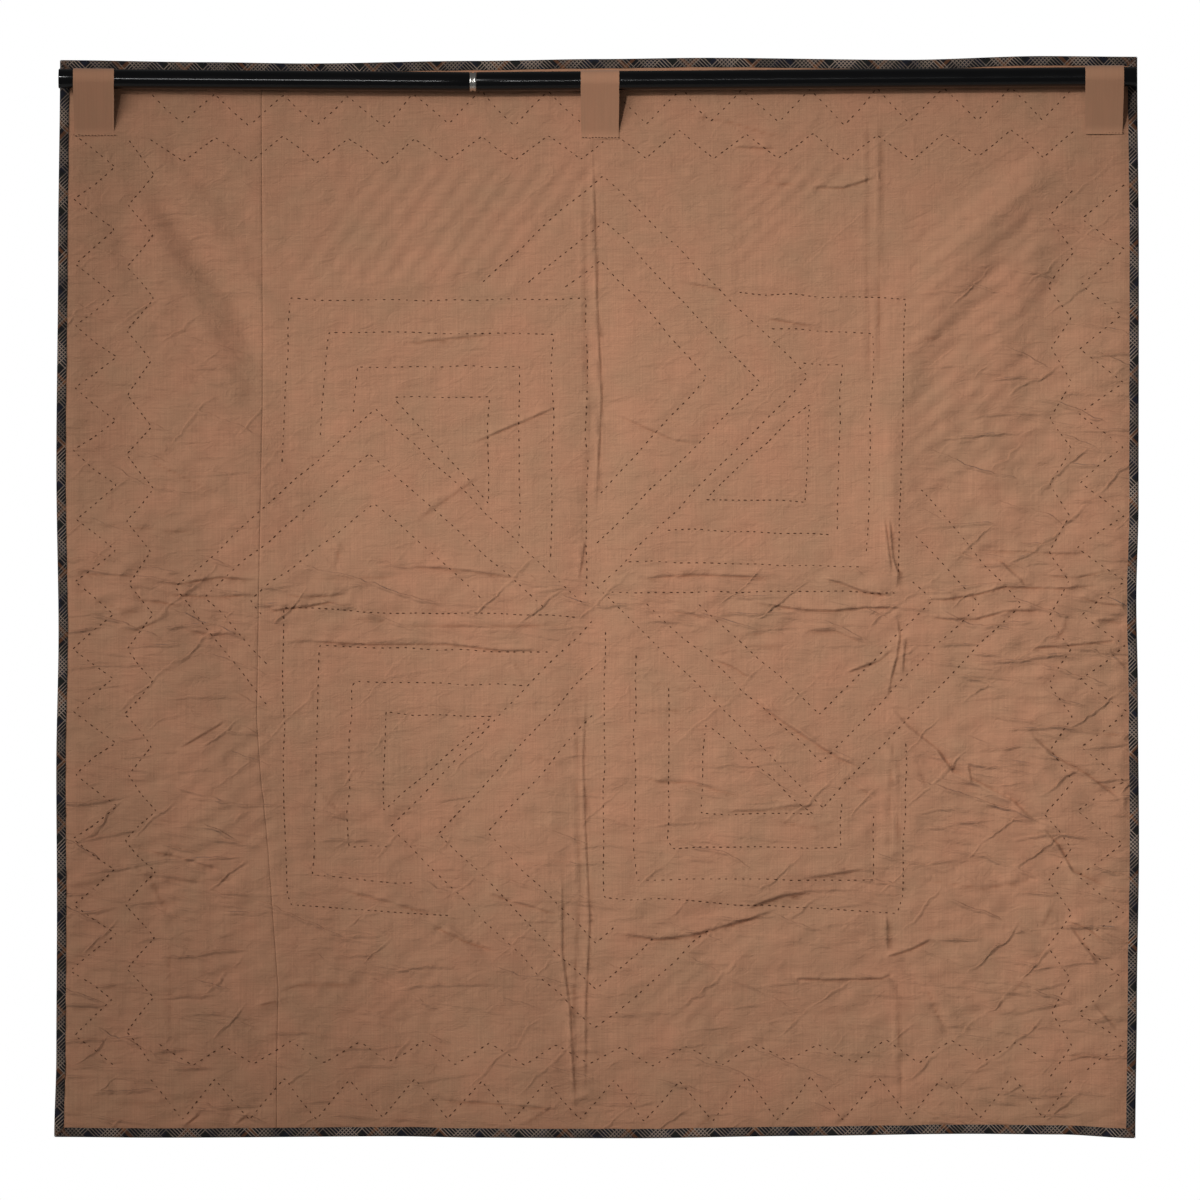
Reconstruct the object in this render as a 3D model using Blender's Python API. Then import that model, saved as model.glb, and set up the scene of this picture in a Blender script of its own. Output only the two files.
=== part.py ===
"""A square patchwork quilt that hangs with its plain back to the viewer, on a two-part metal rod.

Metres, +Z up. The viewer stands at -Y. The origin is midway between the centres of the rod's two ends.
The quilt hangs behind the rod by three cloth tabs, and its edges are bound with a folded bias strip.
"""

import math

import bmesh
import bpy
from mathutils import Matrix, Vector, noise
from mathutils.geometry import delaunay_2d_cdt, intersect_point_line

CM = 0.01
MM = 0.001

# The quilt's outline
HALF_WIDTH = 0.702
TOP_EDGE = 0.0235  # height of the top edge above the origin
HEIGHT = 1.400
CENTRE = (0.0, TOP_EDGE - HEIGHT / 2)

# The layered cloth
THICKNESS = 5.0 * MM  # where it puffs between the lines of quilting
EDGE_THICKNESS = 3.0 * MM  # where the binding squeezes it
QUILTING_DEPTH = 1.5 * MM
QUILTING_HALF_WIDTH = 9.0 * MM
LINE_PITCH = 42.5 * MM  # from one line of quilting to the next
GAP = 0.3 * MM  # between pieces that touch

# The binding
BINDING_WIDTH = 12.0 * MM
BINDING_THICKNESS = 1.1 * MM
BAND = 13.5 * MM  # the plain band along each edge, a little wider than the binding
EDGE_STEPS = 26
MIN_SPACE = 4 * MM  # between that band and the points inside it
MERGE = 2.5 * MM  # points this close become one

# The rod
ROD_RADIUS = 12.7 * MM
ROD_SIDES = 32
ROD_LEFT_END = Vector((-0.700, 0, -1.3 * MM))
ROD_RIGHT_END = Vector((0.700, 0, 1.3 * MM))
ROD_JOINT = Vector((-0.162, 0, -5.5 * MM))  # the sections sag a little where they meet
JOINT_WIDTH = 8.4 * MM
BEAD_WIDTH = 3.2 * MM

# The tabs
TAB_THICKNESS = 1.2 * MM
TAB_SEAM = -75.0 * MM  # height of the line where a tab is sewn down
TAB_COLUMNS = 4
TAB_BEND_STEPS = 10
# name, middle (m), width (m), extra drop of its seam (m)
TABS = [
    ("tab_left", -0.6545, 0.053, 0.000),
    ("tab_centre", 0.0030, 0.050, 0.003),
    ("tab_right", 0.6580, 0.050, -0.003),
]

# How the quilt hangs
MIDDLE_DEPTH = 18.5 * MM  # its middle surface behind the rod's centre line
POINT_PITCH = 34 * MM  # between points on the face that shows
LINE_POINT_PITCH = 46 * MM  # along its quilting and creases
BACK_POINT_PITCH = 44 * MM  # on the hidden face
HEM_SWAY = 5 * MM

# How far each edge bows outwards: place along the edge (cm), outwards (mm)
TOP_BOW = [(-70, 0), (-51, -2.6), (-38, -4.3), (-16, -1), (0, 1.4), (14, 3), (40, 0.4), (58, 5.3), (70, 4.4)]
HEM_BOW = [
    (-70, 0.3), (-58, 1), (-26, -0.4), (-16, 1.3), (4, 1.7), (26, -1), (49, -3.6), (60, -3), (70, 1.7),
]
LEFT_BOW = [(-138, 4.8), (-127, 2.1), (-107, 1.2), (-90, 2), (-72, -0.9), (-50, 2), (-23, -0.3), (2, -2.9)]
RIGHT_BOW = [(-138, -3), (-120, -1), (-100, 1.7), (-80, 0.4), (-68, -1.7), (-55, 1.3), (-23, 1.7), (2, -0.4)]

# Broad folds: push towards the viewer (mm), half-width (cm), the line it follows (cm across, cm up)
FOLDS = [
    (-11, 6, [(-61, -13), (-49, -29), (-39, -46), (-36, -57)]),
    (-5, 5, [(-65, -25), (-61, -48)]),
    (13, 8, [(-53, -63), (-44, -80), (-36, -102), (-28, -109), (-17, -116), (-6, -129)]),
    (10, 5, [(62, -10), (54, -20), (44, -29), (40, -42), (39, -57)]),
    (-4, 3, [(-1, -13), (0, -29), (1, -42), (-1, -68), (-2, -94), (-3, -134)]),
    (6, 9, [(57, -60), (58, -92)]),
    (-5, 8, [(20, -124), (52, -122)]),
]

# Main creases: push towards the viewer (mm), half-width (cm), the line it follows (cm across, cm up)
CREASES = [
    (-2.0, 1.0, [(36.5, -33), (37, -48), (38, -57), (39, -64.5), (40, -73), (38, -81.5)]),
    (-1.6, 1.0, [(-63, -67), (-45, -67.5), (-35, -68), (-20, -68)]),
    (-2.0, 1.1, [(12, -64.5), (26, -65), (34, -66.5), (40, -68), (49, -67), (66, -66)]),
    (-1.5, 1.0, [(-40, -73), (-30, -73.5), (-12, -74.5), (-6, -74.5)]),
    (-2.2, 1.2, [(38, -81.5), (44, -87.5), (50, -92), (58, -98), (62, -102), (68, -105.5)]),
    (-2.0, 1.1, [(20, -80.5), (26, -85), (34.5, -90)]),
    (-1.8, 1.2, [(0.5, -110), (13.5, -111), (21, -109.5), (26, -106), (37, -105)]),
    (-1.8, 1.2, [(-39, -105), (-22, -109.5), (-12, -114)]),
    (-1.5, 1.0, [(5, -103), (26, -104), (38, -102)]),
    (-1.5, 1.2, [(-40, -29), (-26, -29), (-15, -26.5), (-6, -24.5)]),
    (1.5, 1.0, [(61.5, -9.5), (53, -19.5), (45, -26), (41, -27.5)]),
]

# Quilting of the upper left quarter, from the quilt's centre, in cm; the other quarters are its turns
QUARTER_ARMS = [
    [(-1.8, -0.5), (-28.9, 24.8), (-54.9, 1.6), (-42.5, -14.3)],
    [(-6.8, -1.2), (-29.5, 19.0), (-51.1, 0.4), (-42.5, -8.8)],
    [(-15.0, 0.0), (-28.9, 12.6), (-45.2, 0.0), (-43.2, -2.5)],
]
SQUARE_SIDE = 0.390  # the outermost nested corner, from the centre
SQUARE_START = 0.0143  # its inner side, from the centre line
OUTER_SIDE_ENDS = [0.177, 0.217, 0.240]  # where the outer sides stop short of the arms

# Zigzag borders: side, how far in from the edge the first turn and the next one lie (m), place of the
# first turn along the edge (m), and from one such turn to the next (m)
ZIGZAGS = [
    ("top", 0.040, 0.083, -0.582, 0.0860),
    ("top", 0.098, 0.130, -0.581, 0.0860),
    ("hem", 0.076, 0.022, -0.582, 0.0860),
    ("hem", 0.122, 0.095, -0.571, 0.0860),
    ("left", 0.020, 0.074, -0.072, 0.0835),
    ("left", 0.090, 0.124, -0.080, 0.0828),
    ("right", 0.018, 0.076, -0.137, 0.0860),
    ("right", 0.086, 0.115, -0.140, 0.0860),
]
ZIGZAG_END = 0.075  # the rows stop this far from the corners


def smooth(t):
    """Eases from 0 to 1."""
    t = min(1.0, max(0.0, t))
    return t * t * (3 - 2 * t)


def bow(table, place):
    """How far an edge bows outwards at a place along it, both in metres."""
    place = place / CM
    if place <= table[0][0]:
        return table[0][1] * MM
    for (a, out_a), (b, out_b) in zip(table, table[1:]):
        if place <= b:
            return (out_a + (out_b - out_a) * smooth((place - a) / (b - a))) * MM
    return table[-1][1] * MM


def along(points, pitch):
    """Points evenly spaced along a line of straight runs, its corners among them."""
    spaced = [Vector(points[0])]
    for start, end in zip(points, points[1:]):
        start, end = Vector(start), Vector(end)
        steps = max(1, round((end - start).length / pitch))
        spaced += [start.lerp(end, i / steps) for i in range(1, steps + 1)]
    return spaced


def beside(line, distance):
    """A line that runs beside another one, to its left."""
    shifted = []
    for i, point in enumerate(line):
        runs = [line[j + 1] - line[j] for j in (i - 1, i) if 0 <= j < len(line) - 1]
        normals = [Vector((-run.y, run.x)).normalized() for run in runs]
        mitre = sum(normals, Vector((0, 0))).normalized()
        shifted.append(point + mitre * distance / max(0.5, mitre.dot(normals[0])))
    return shifted


def distance_to(line, point):
    """Distance from a flat point to a line of straight runs."""
    nearest = math.inf
    for start, end in zip(line, line[1:]):
        foot, share = intersect_point_line(point, start, end)
        foot = start.lerp(end, min(1.0, max(0.0, share)))
        nearest = min(nearest, (point - foot.to_2d()).length)
    return nearest


def in_metres(table):
    """The rows of FOLDS or CREASES, all in metres."""
    return [
        (push * MM, half_width * CM, [Vector((x * CM, z * CM)) for x, z in line])
        for push, half_width, line in table
    ]


def quilting_lines():
    """Every stitched line that shows, as flat lines of straight runs in metres."""
    quarter = [[(x * CM, z * CM) for x, z in arm] for arm in QUARTER_ARMS]
    for i, stop in enumerate(OUTER_SIDE_ENDS + [None]):
        far = SQUARE_SIDE - i * LINE_PITCH
        near = SQUARE_START + i * LINE_PITCH
        inner_end = i * LINE_PITCH
        if stop is None:  # the innermost one is closed to a triangle by its slanted side
            quarter.append([(-far, far), (-near, far), (-near, inner_end), (-far, far)])
        else:
            quarter.append([(-far, stop), (-far, far), (-near, far), (-near, inner_end)])
    lines = []
    for turns in range(4):
        turn = Matrix.Rotation(turns * math.pi / 2, 2)
        lines += [[turn @ Vector(p) + Vector(CENTRE) for p in line] for line in quarter]
    return lines + [zigzag(*row) for row in ZIGZAGS]


def zigzag(side, odd, even, first, pitch):
    """One row of zigzag quilting beside an edge."""
    if side in ("top", "hem"):
        last = HALF_WIDTH - ZIGZAG_END
    else:
        last = HEIGHT - TOP_EDGE - ZIGZAG_END
        first = -first
    turns, place = [], first
    while place < last:
        turns.append((place, even if len(turns) % 2 else odd))
        place += pitch / 2
    if side == "top":
        return [Vector((p, TOP_EDGE - inset)) for p, inset in turns]
    if side == "hem":
        return [Vector((p, TOP_EDGE - HEIGHT + inset)) for p, inset in turns]
    sign = -1 if side == "left" else 1
    return [Vector((sign * (HALF_WIDTH - inset), -p)) for p, inset in turns]


FOLD_LINES = in_metres(FOLDS)
CREASE_LINES = in_metres(CREASES)
QUILTING = quilting_lines()


def middle(x, z):
    """Y of the quilt's middle surface, with its broad folds."""
    point = Vector((x, z))
    below_rod = smooth((-0.02 - z) / 0.14)
    folds = sum(
        push * math.exp(-((distance_to(line, point) / half_width) ** 2))
        for push, half_width, line in FOLD_LINES
    )
    fall = smooth(-z / HEIGHT)
    sway = HEM_SWAY * fall * math.sin(2 * math.pi * (x / 0.62 + 0.1))
    unevenness = 3 * MM * noise.noise(Vector((x * 5, z * 4, 2.7)))
    return MIDDLE_DEPTH - below_rod * (folds + sway + unevenness)


def relief(x, z):
    """How far the quilting and the creases move the shown face from its plain level."""
    point = Vector((x, z))
    nearest = min(distance_to(line, point) for line in QUILTING)
    groove = QUILTING_DEPTH * smooth(1 - nearest / QUILTING_HALF_WIDTH)
    crease = sum(
        push * smooth(1 - distance_to(line, point) / half_width)
        for push, half_width, line in CREASE_LINES
    )
    return crease - groove


def outline(side, place, inset):
    """The flat point on one side of the quilt, inset from its outline."""
    if side == "top":
        return Vector((place, TOP_EDGE + bow(TOP_BOW, place) - inset))
    if side == "hem":
        return Vector((place, TOP_EDGE - HEIGHT - bow(HEM_BOW, place) + inset))
    if side == "left":
        return Vector((-HALF_WIDTH - bow(LEFT_BOW, place) + inset, place))
    return Vector((HALF_WIDTH + bow(RIGHT_BOW, place) - inset, place))


def corner(vertical, horizontal, inset):
    """The flat point at a corner, inset from both of its sides."""
    z = TOP_EDGE if horizontal == "top" else TOP_EDGE - HEIGHT
    x = -HALF_WIDTH if vertical == "left" else HALF_WIDTH
    return Vector((outline(vertical, z, inset).x, outline(horizontal, x, inset).y))


def edge_stations(side):
    """Pairs of flat points across the plain band of one side, anticlockwise for the viewer."""
    ends = {
        "top": (("right", "top"), ("left", "top")),
        "left": (("left", "top"), ("left", "hem")),
        "hem": (("left", "hem"), ("right", "hem")),
        "right": (("right", "hem"), ("right", "top")),
    }[side]
    cloth_edge = BINDING_THICKNESS + GAP
    pairs = [(corner(*ends[0], cloth_edge), corner(*ends[0], BAND))]
    axis = 0 if side in ("top", "hem") else 1
    first, last = (corner(*end, 0)[axis] for end in ends)
    for i in range(1, EDGE_STEPS):
        place = first + (last - first) * i / EDGE_STEPS
        pairs.append((outline(side, place, cloth_edge), outline(side, place, BAND)))
    pairs.append((corner(*ends[1], cloth_edge), corner(*ends[1], BAND)))
    return pairs


def place_on(flat, offset):
    """The point over a flat one, offset from the quilt's middle surface away from the viewer."""
    return Vector((flat.x, middle(flat.x, flat.y) + offset, flat.y))


def inset_at(flat):
    """How far a flat point lies inside the outline."""
    return min(
        flat.x - outline("left", flat.y, 0).x,
        outline("right", flat.y, 0).x - flat.x,
        outline("top", flat.x, 0).y - flat.y,
        flat.y - outline("hem", flat.x, 0).y,
    )


def kept_inside(flat, inset):
    """The flat point, moved in from the outline where it is nearer to it than that."""
    x = min(max(flat.x, outline("left", flat.y, inset).x), outline("right", flat.y, inset).x)
    z = min(max(flat.y, outline("hem", flat.x, inset).y), outline("top", flat.x, inset).y)
    return Vector((x, z))


def inside_points(pitch, lines, keep_off):
    """Staggered points all over the quilt inside its plain band, clear of the lines."""
    points = []
    row_pitch = pitch * math.sqrt(3) / 2
    for row in range(int(HEIGHT / row_pitch)):
        z = TOP_EDGE - BAND - pitch / 2 - row * row_pitch
        for column in range(int(2 * HALF_WIDTH / pitch) + 1):
            x = -HALF_WIDTH + (column + 0.5 * (row % 2)) * pitch
            point = Vector((x, z))
            if inset_at(point) < BAND + pitch / 2.5:
                continue
            if all(distance_to(line, point) > keep_off for line in lines):
                points.append(point)
    return points


def face_mesh(bm, rim, lines, pitch, level):
    """Fills the rim with triangles that follow the lines, and returns the rim's vertices.

    lines are rows of line and half-width: each is followed along its middle and both of its flanks.
    level(flat point) gives a vertex its place.
    """
    points = list(rim)
    edges = [(i, (i + 1) % len(rim)) for i in range(len(rim))]
    for line, half_width in lines:
        for distance in (-half_width, 0, half_width):
            spaced = along(beside(line, distance), LINE_POINT_PITCH)
            edges += [(len(points) + i, len(points) + i + 1) for i in range(len(spaced) - 1)]
            points += [kept_inside(p, BAND + MIN_SPACE) for p in spaced]
    points += inside_points(pitch, [line for line, _ in lines], pitch * 0.55)
    flat, _, triangles, sources, _, _ = delaunay_2d_cdt(points, edges, [], 1, MERGE)
    vertices = [bm.verts.new(level(p)) for p in flat]
    for triangle in triangles:
        bm.faces.new([vertices[i] for i in triangle])
    by_source = {s: vertices[i] for i, merged in enumerate(sources) for s in merged}
    return [by_source[i] for i in range(len(rim))]


def finish(bm, name, material):
    """Turns a closed bmesh into a named object with outward faces."""
    bmesh.ops.recalc_face_normals(bm, faces=bm.faces)
    bmesh.ops.triangulate(bm, faces=bm.faces)
    mesh = bpy.data.meshes.new(name)
    bm.to_mesh(mesh)
    bm.free()
    mesh.shade_smooth()
    mesh.set_sharp_from_angle(angle=math.radians(40))
    mesh.materials.append(material)
    piece = bpy.data.objects.new(name, mesh)
    bpy.context.scene.collection.objects.link(piece)
    return piece


def make_quilt(material):
    """The quilted cloth: two faces, each with its own points, joined round the edge."""
    pairs = [pair for side in ("top", "left", "hem", "right") for pair in edge_stations(side)[:-1]]
    edge, rim = ([pair[i] for pair in pairs] for i in (0, 1))
    lines = [(line, QUILTING_HALF_WIDTH) for line in QUILTING]
    lines += [(line, half_width) for _, half_width, line in CREASE_LINES]

    def shown(flat):
        puff = (THICKNESS - EDGE_THICKNESS) / 2 + relief(flat.x, flat.y)
        return place_on(flat, -EDGE_THICKNESS / 2 - puff * smooth(inset_at(flat) / BAND - 1))

    def hidden(flat):
        puff = (THICKNESS - EDGE_THICKNESS) / 2
        return place_on(flat, EDGE_THICKNESS / 2 + puff * smooth(inset_at(flat) / BAND - 1))

    bm = bmesh.new()
    shown_rim = face_mesh(bm, rim, lines, POINT_PITCH, shown)
    hidden_rim = face_mesh(bm, rim, [], BACK_POINT_PITCH, hidden)
    shown_edge = [bm.verts.new(place_on(p, -EDGE_THICKNESS / 2)) for p in edge]
    hidden_edge = [bm.verts.new(place_on(p, EDGE_THICKNESS / 2)) for p in edge]
    for loops in ((shown_rim, shown_edge), (shown_edge, hidden_edge), (hidden_edge, hidden_rim)):
        for i in range(len(edge)):
            j = (i + 1) % len(edge)
            bm.faces.new([loops[0][i], loops[0][j], loops[1][j], loops[1][i]])
    return finish(bm, "quilt", material)


def sweep(bm, sections):
    """Joins closed sections of as many points each into one body with flat ends."""
    rings = [[bm.verts.new(p) for p in section] for section in sections]
    count = len(rings[0])
    for ring, following in zip(rings, rings[1:]):
        for i in range(count):
            j = (i + 1) % count
            bm.faces.new([ring[i], ring[j], following[j], following[i]])
    bm.faces.new(rings[0])
    bm.faces.new(rings[-1])


def make_binding(side, material):
    """One side of the binding: a strip folded round the quilt's edge, cut slanting at its corners."""
    cavity = EDGE_THICKNESS / 2 + GAP
    outside = cavity + BINDING_THICKNESS
    wrap = [
        (BINDING_WIDTH, -cavity), (BINDING_WIDTH, -outside), (1.6 * MM, -outside), (0, -0.5 * outside),
        (0, 0.5 * outside), (1.6 * MM, outside), (BINDING_WIDTH, outside), (BINDING_WIDTH, cavity),
        (BINDING_THICKNESS, cavity), (BINDING_THICKNESS, -cavity),
    ]
    pairs = edge_stations(side)
    run = (pairs[-1][0] - pairs[0][0]).normalized()
    sections = []
    for i, (edge, rim) in enumerate(pairs):
        start, end = place_on(edge, 0), place_on(rim, 0)
        shift = Vector((0, 0, 0))
        if i in (0, EDGE_STEPS):
            clear = GAP if i == 0 else -GAP
            shift = Vector((run.x, 0, run.y)) * clear
        cloth_edge = BINDING_THICKNESS + GAP
        section = []
        for width, height in wrap:
            share = (width - cloth_edge) / (BAND - cloth_edge)
            section.append(start.lerp(end, share) + shift + Vector((0, height, 0)))
        sections.append(section)
    bm = bmesh.new()
    sweep(bm, sections)
    return finish(bm, "binding_" + side.replace("hem", "bottom"), material)


def rod_height(x):
    """Height of the rod's centre line."""
    end = ROD_LEFT_END if x < ROD_JOINT.x else ROD_RIGHT_END
    return ROD_JOINT.z + (end.z - ROD_JOINT.z) * (x - ROD_JOINT.x) / (end.x - ROD_JOINT.x)


def tab_path(x, seam):
    """The middle line of a tab at one place across it, from the binding over the rod to its foot."""
    rod = rod_height(x)
    around = ROD_RADIUS + GAP + TAB_THICKNESS / 2
    off_cloth = THICKNESS / 2 + GAP * 2 + TAB_THICKNESS / 2
    binding_edge = outline("top", x, BINDING_WIDTH).y
    top = min(rod + around - 1.0 * MM, binding_edge - GAP - TAB_THICKNESS / 2)
    start = Vector((middle(x, top) - EDGE_THICKNESS / 2 - GAP * 2 - TAB_THICKNESS / 2, top))
    foot_top = Vector((middle(x, seam) - off_cloth, seam + 3 * MM))
    foot_end = Vector((middle(x, seam - 6 * MM) - off_cloth, seam - 5 * MM))
    centre = Vector((0.0, rod))
    to_foot = foot_top - centre
    leave = math.atan2(to_foot.y, to_foot.x) - math.acos(around / to_foot.length)
    path = [start, start.lerp(centre + Vector((0, around)), 0.5)]
    angle_from, angle_to = math.pi / 2, leave + 2 * math.pi
    for i in range(TAB_BEND_STEPS + 1):
        angle = angle_from + (angle_to - angle_from) * i / TAB_BEND_STEPS
        path.append(centre + around * Vector((math.cos(angle), math.sin(angle))))
    leaving = path[-1]
    path += [leaving.lerp(foot_top, share) for share in (0.33, 0.67)]
    return path + [foot_top, foot_end]


def make_tab(name, place, width, drop, material):
    """One tab: a strip bent over the rod, built as two faces a cloth's thickness apart."""
    columns = []
    for i in range(TAB_COLUMNS):
        x = place + width * (i / (TAB_COLUMNS - 1) - 0.5)
        path = tab_path(x, TAB_SEAM - drop)
        outer, inner = [], []
        for j, point in enumerate(path):
            heading = path[min(j + 1, len(path) - 1)] - path[max(j - 1, 0)]
            across = Vector((-heading.y, heading.x)).normalized() * TAB_THICKNESS / 2
            outer.append(Vector((x, point.x - across.x, point.y - across.y)))
            inner.append(Vector((x, point.x + across.x, point.y + across.y)))
        columns.append(outer + inner[::-1])
    bm = bmesh.new()
    sweep(bm, columns)
    return finish(bm, name, material)


def make_rod(name, start, end, material):
    """A length of round rod with flat, slightly eased ends."""
    run = end - start
    turn = Vector((0, 0, 1)).rotation_difference(run).to_matrix().to_4x4()
    bm = bmesh.new()
    bmesh.ops.create_cone(
        bm, cap_ends=True, segments=ROD_SIDES, radius1=ROD_RADIUS, radius2=ROD_RADIUS,
        depth=run.length, matrix=Matrix.Translation((start + end) / 2) @ turn,
    )
    rims = [e for e in bm.edges if any(len(f.verts) > 4 for f in e.link_faces)]
    bmesh.ops.bevel(bm, geom=rims, offset=0.6 * MM, segments=1, profile=0.5, affect="EDGES", material=-1)
    return finish(bm, name, material)


def make_joint(run, material):
    """The joint ring: a short turned piece with two beads."""
    half = JOINT_WIDTH / 2
    bead = BEAD_WIDTH
    low = ROD_RADIUS - 0.9 * MM
    profile = [
        (-half, 0), (-half, low), (-half + 0.3 * bead, ROD_RADIUS), (-half + 0.7 * bead, ROD_RADIUS),
        (-half + bead, low), (half - bead, low), (half - 0.7 * bead, ROD_RADIUS),
        (half - 0.3 * bead, ROD_RADIUS), (half, low), (half, 0),
    ]
    bm = bmesh.new()
    points = [bm.verts.new((radius, 0, place)) for place, radius in profile]
    edges = [bm.edges.new(pair) for pair in zip(points, points[1:])]
    bmesh.ops.spin(
        bm, geom=points + edges, axis=(0, 0, 1), cent=(0, 0, 0), angle=2 * math.pi,
        steps=ROD_SIDES, use_merge=True,
    )
    bmesh.ops.remove_doubles(bm, verts=bm.verts, dist=1e-6)
    turn = Vector((0, 0, 1)).rotation_difference(run).to_matrix().to_4x4()
    bmesh.ops.transform(bm, matrix=Matrix.Translation(ROD_JOINT) @ turn, verts=bm.verts)
    return finish(bm, "rod_joint", material)


def make_material(name, colour, roughness, metallic=0.0):
    """A plain Principled material."""
    material = bpy.data.materials.new(name)
    material.use_nodes = True
    shader = material.node_tree.nodes["Principled BSDF"]
    shader.inputs["Base Color"].default_value = (*colour, 1)
    shader.inputs["Roughness"].default_value = roughness
    shader.inputs["Metallic"].default_value = metallic
    return material


def build():
    """Makes every piece where it hangs."""
    for piece in list(bpy.data.objects):
        bpy.data.objects.remove(piece)
    cotton = make_material("brown_cotton", (0.335, 0.181, 0.111), 0.9)
    plaid = make_material("bias_plaid", (0.018, 0.020, 0.028), 0.9)
    enamel = make_material("black_enamel", (0.004, 0.004, 0.005), 0.35)
    steel = make_material("bright_steel", (0.62, 0.61, 0.60), 0.25, 1.0)

    make_quilt(cotton)
    for side in ("top", "hem", "left", "right"):
        make_binding(side, plaid)
    for name, place, width, drop in TABS:
        make_tab(name, place, width, drop, cotton)

    to_left = (ROD_LEFT_END - ROD_JOINT).normalized()
    to_right = (ROD_RIGHT_END - ROD_JOINT).normalized()
    clear = JOINT_WIDTH / 2 + GAP
    make_rod("rod_left", ROD_LEFT_END, ROD_JOINT + to_left * clear, enamel)
    make_rod("rod_right", ROD_JOINT + to_right * clear, ROD_RIGHT_END, enamel)
    make_joint(to_right - to_left, steel)


build()
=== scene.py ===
"""Looks of a square patchwork quilt that hangs from a two-part rod with its plain back to the viewer.

Metres, +Z up, the viewer at -Y. The origin is midway between the centres of the rod's two ends.
"""

import math
import random

import bmesh
import bpy
import numpy as np
from mathutils import Matrix, Vector, noise


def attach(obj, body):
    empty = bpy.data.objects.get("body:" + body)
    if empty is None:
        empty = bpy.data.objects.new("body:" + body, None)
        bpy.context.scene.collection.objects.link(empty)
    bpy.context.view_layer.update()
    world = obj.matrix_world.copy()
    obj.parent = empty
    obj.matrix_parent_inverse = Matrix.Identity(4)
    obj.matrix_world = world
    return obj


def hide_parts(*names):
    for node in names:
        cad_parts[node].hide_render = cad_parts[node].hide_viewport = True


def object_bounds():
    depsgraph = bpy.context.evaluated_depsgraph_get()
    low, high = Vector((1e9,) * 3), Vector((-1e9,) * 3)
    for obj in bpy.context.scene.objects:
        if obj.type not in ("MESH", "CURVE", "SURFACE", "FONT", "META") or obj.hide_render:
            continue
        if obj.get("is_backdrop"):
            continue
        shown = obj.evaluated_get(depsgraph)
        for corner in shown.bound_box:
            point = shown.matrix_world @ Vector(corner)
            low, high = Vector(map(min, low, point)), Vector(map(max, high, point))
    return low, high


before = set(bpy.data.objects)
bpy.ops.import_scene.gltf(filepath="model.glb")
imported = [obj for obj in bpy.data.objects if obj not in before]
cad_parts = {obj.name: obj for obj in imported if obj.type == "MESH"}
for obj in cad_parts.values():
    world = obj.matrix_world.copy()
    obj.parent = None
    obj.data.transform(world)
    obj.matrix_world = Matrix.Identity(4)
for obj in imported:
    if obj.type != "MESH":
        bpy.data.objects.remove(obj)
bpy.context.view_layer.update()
MM = 0.001
CM = 0.01

# ---------------------------------------------------------------------------------------------
# Camera, light and floor
# A white studio with a long lens square to the cloth. A lamp at the left rakes over the folds, a
# broad one above it fills in, and a long one in front draws the thin line of light on the rod.

CAMERA_DISTANCE = 16.0
CAMERA_PLACE = (0.003, -CAMERA_DISTANCE, -0.6785)
FIELD_WIDTH = 1.56  # what the frame takes in at the cloth
CLOTH_DEPTH = 0.016

lens = bpy.data.cameras.new("camera")
lens.sensor_width = 36.0
lens.lens = lens.sensor_width * (CAMERA_DISTANCE + CLOTH_DEPTH) / FIELD_WIDTH
camera = bpy.data.objects.new("camera", lens)
camera.location = CAMERA_PLACE
camera.rotation_euler = (math.pi / 2, 0, 0)
bpy.context.scene.collection.objects.link(camera)
bpy.context.scene.camera = camera
bpy.context.scene.view_settings.view_transform = "Standard"


def add_lamp(name, kind, place, target, power, **settings):
    """A lamp that points at a target."""
    lamp = bpy.data.lights.new(name, kind)
    lamp.energy = power
    for setting, value in settings.items():
        setattr(lamp, setting, value)
    holder = bpy.data.objects.new(name, lamp)
    holder.location = place
    holder.rotation_euler = (Vector(target) - Vector(place)).to_track_quat("-Z", "Y").to_euler()
    bpy.context.scene.collection.objects.link(holder)
    return holder


rake = add_lamp(
    "lamp_left", "SPOT", (-3.0, -7.5, 2.5), (0.37, 0, -0.65), 2000,
    spot_size=math.radians(13.4), spot_blend=1.0, shadow_soft_size=0.38,
)
rake.scale = (1.22, 1.0, 1.0)  # its cone is wider than it is high
add_lamp(
    "lamp_sky", "AREA", (-4.9, -4.3, 1.6), (0.0, 0, -0.75), 250,
    shape="RECTANGLE", size=4.4, size_y=2.6,
)
glint = add_lamp(
    "lamp_strip", "AREA", (-0.62, -8.3, 0.35), (-0.4, 0, 0), 34,
    shape="RECTANGLE", size=1.0, size_y=0.20,
)
glint.visible_diffuse = False  # a glint on the rod, with no light on the cloth

AMBIENT = 0.12
world = bpy.data.worlds.new("studio")
bpy.context.scene.world = world
world.use_nodes = True


def linear(colour):
    """An sRGB hex colour as the linear values that shaders take."""
    parts = [int(colour[i:i + 2], 16) / 255 for i in (1, 3, 5)]
    return (*(c / 12.92 if c <= 0.04045 else ((c + 0.055) / 1.055) ** 2.4 for c in parts), 1.0)


def add_node(tree, kind, inputs=None, **settings):
    """Adds a shader node, sets its settings, and sets or links its inputs by name or number.

    A node that is given for an input is linked from its first output in use.
    """
    node = tree.nodes.new("ShaderNode" + kind)
    for setting, value in settings.items():
        setattr(node, setting, value)
    for socket, value in (inputs or {}).items():
        if isinstance(value, bpy.types.Node):
            value = next(output for output in value.outputs if output.enabled)
        if isinstance(value, bpy.types.NodeSocket):
            tree.links.new(value, node.inputs[socket])
        else:
            node.inputs[socket].default_value = value
    return node


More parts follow.
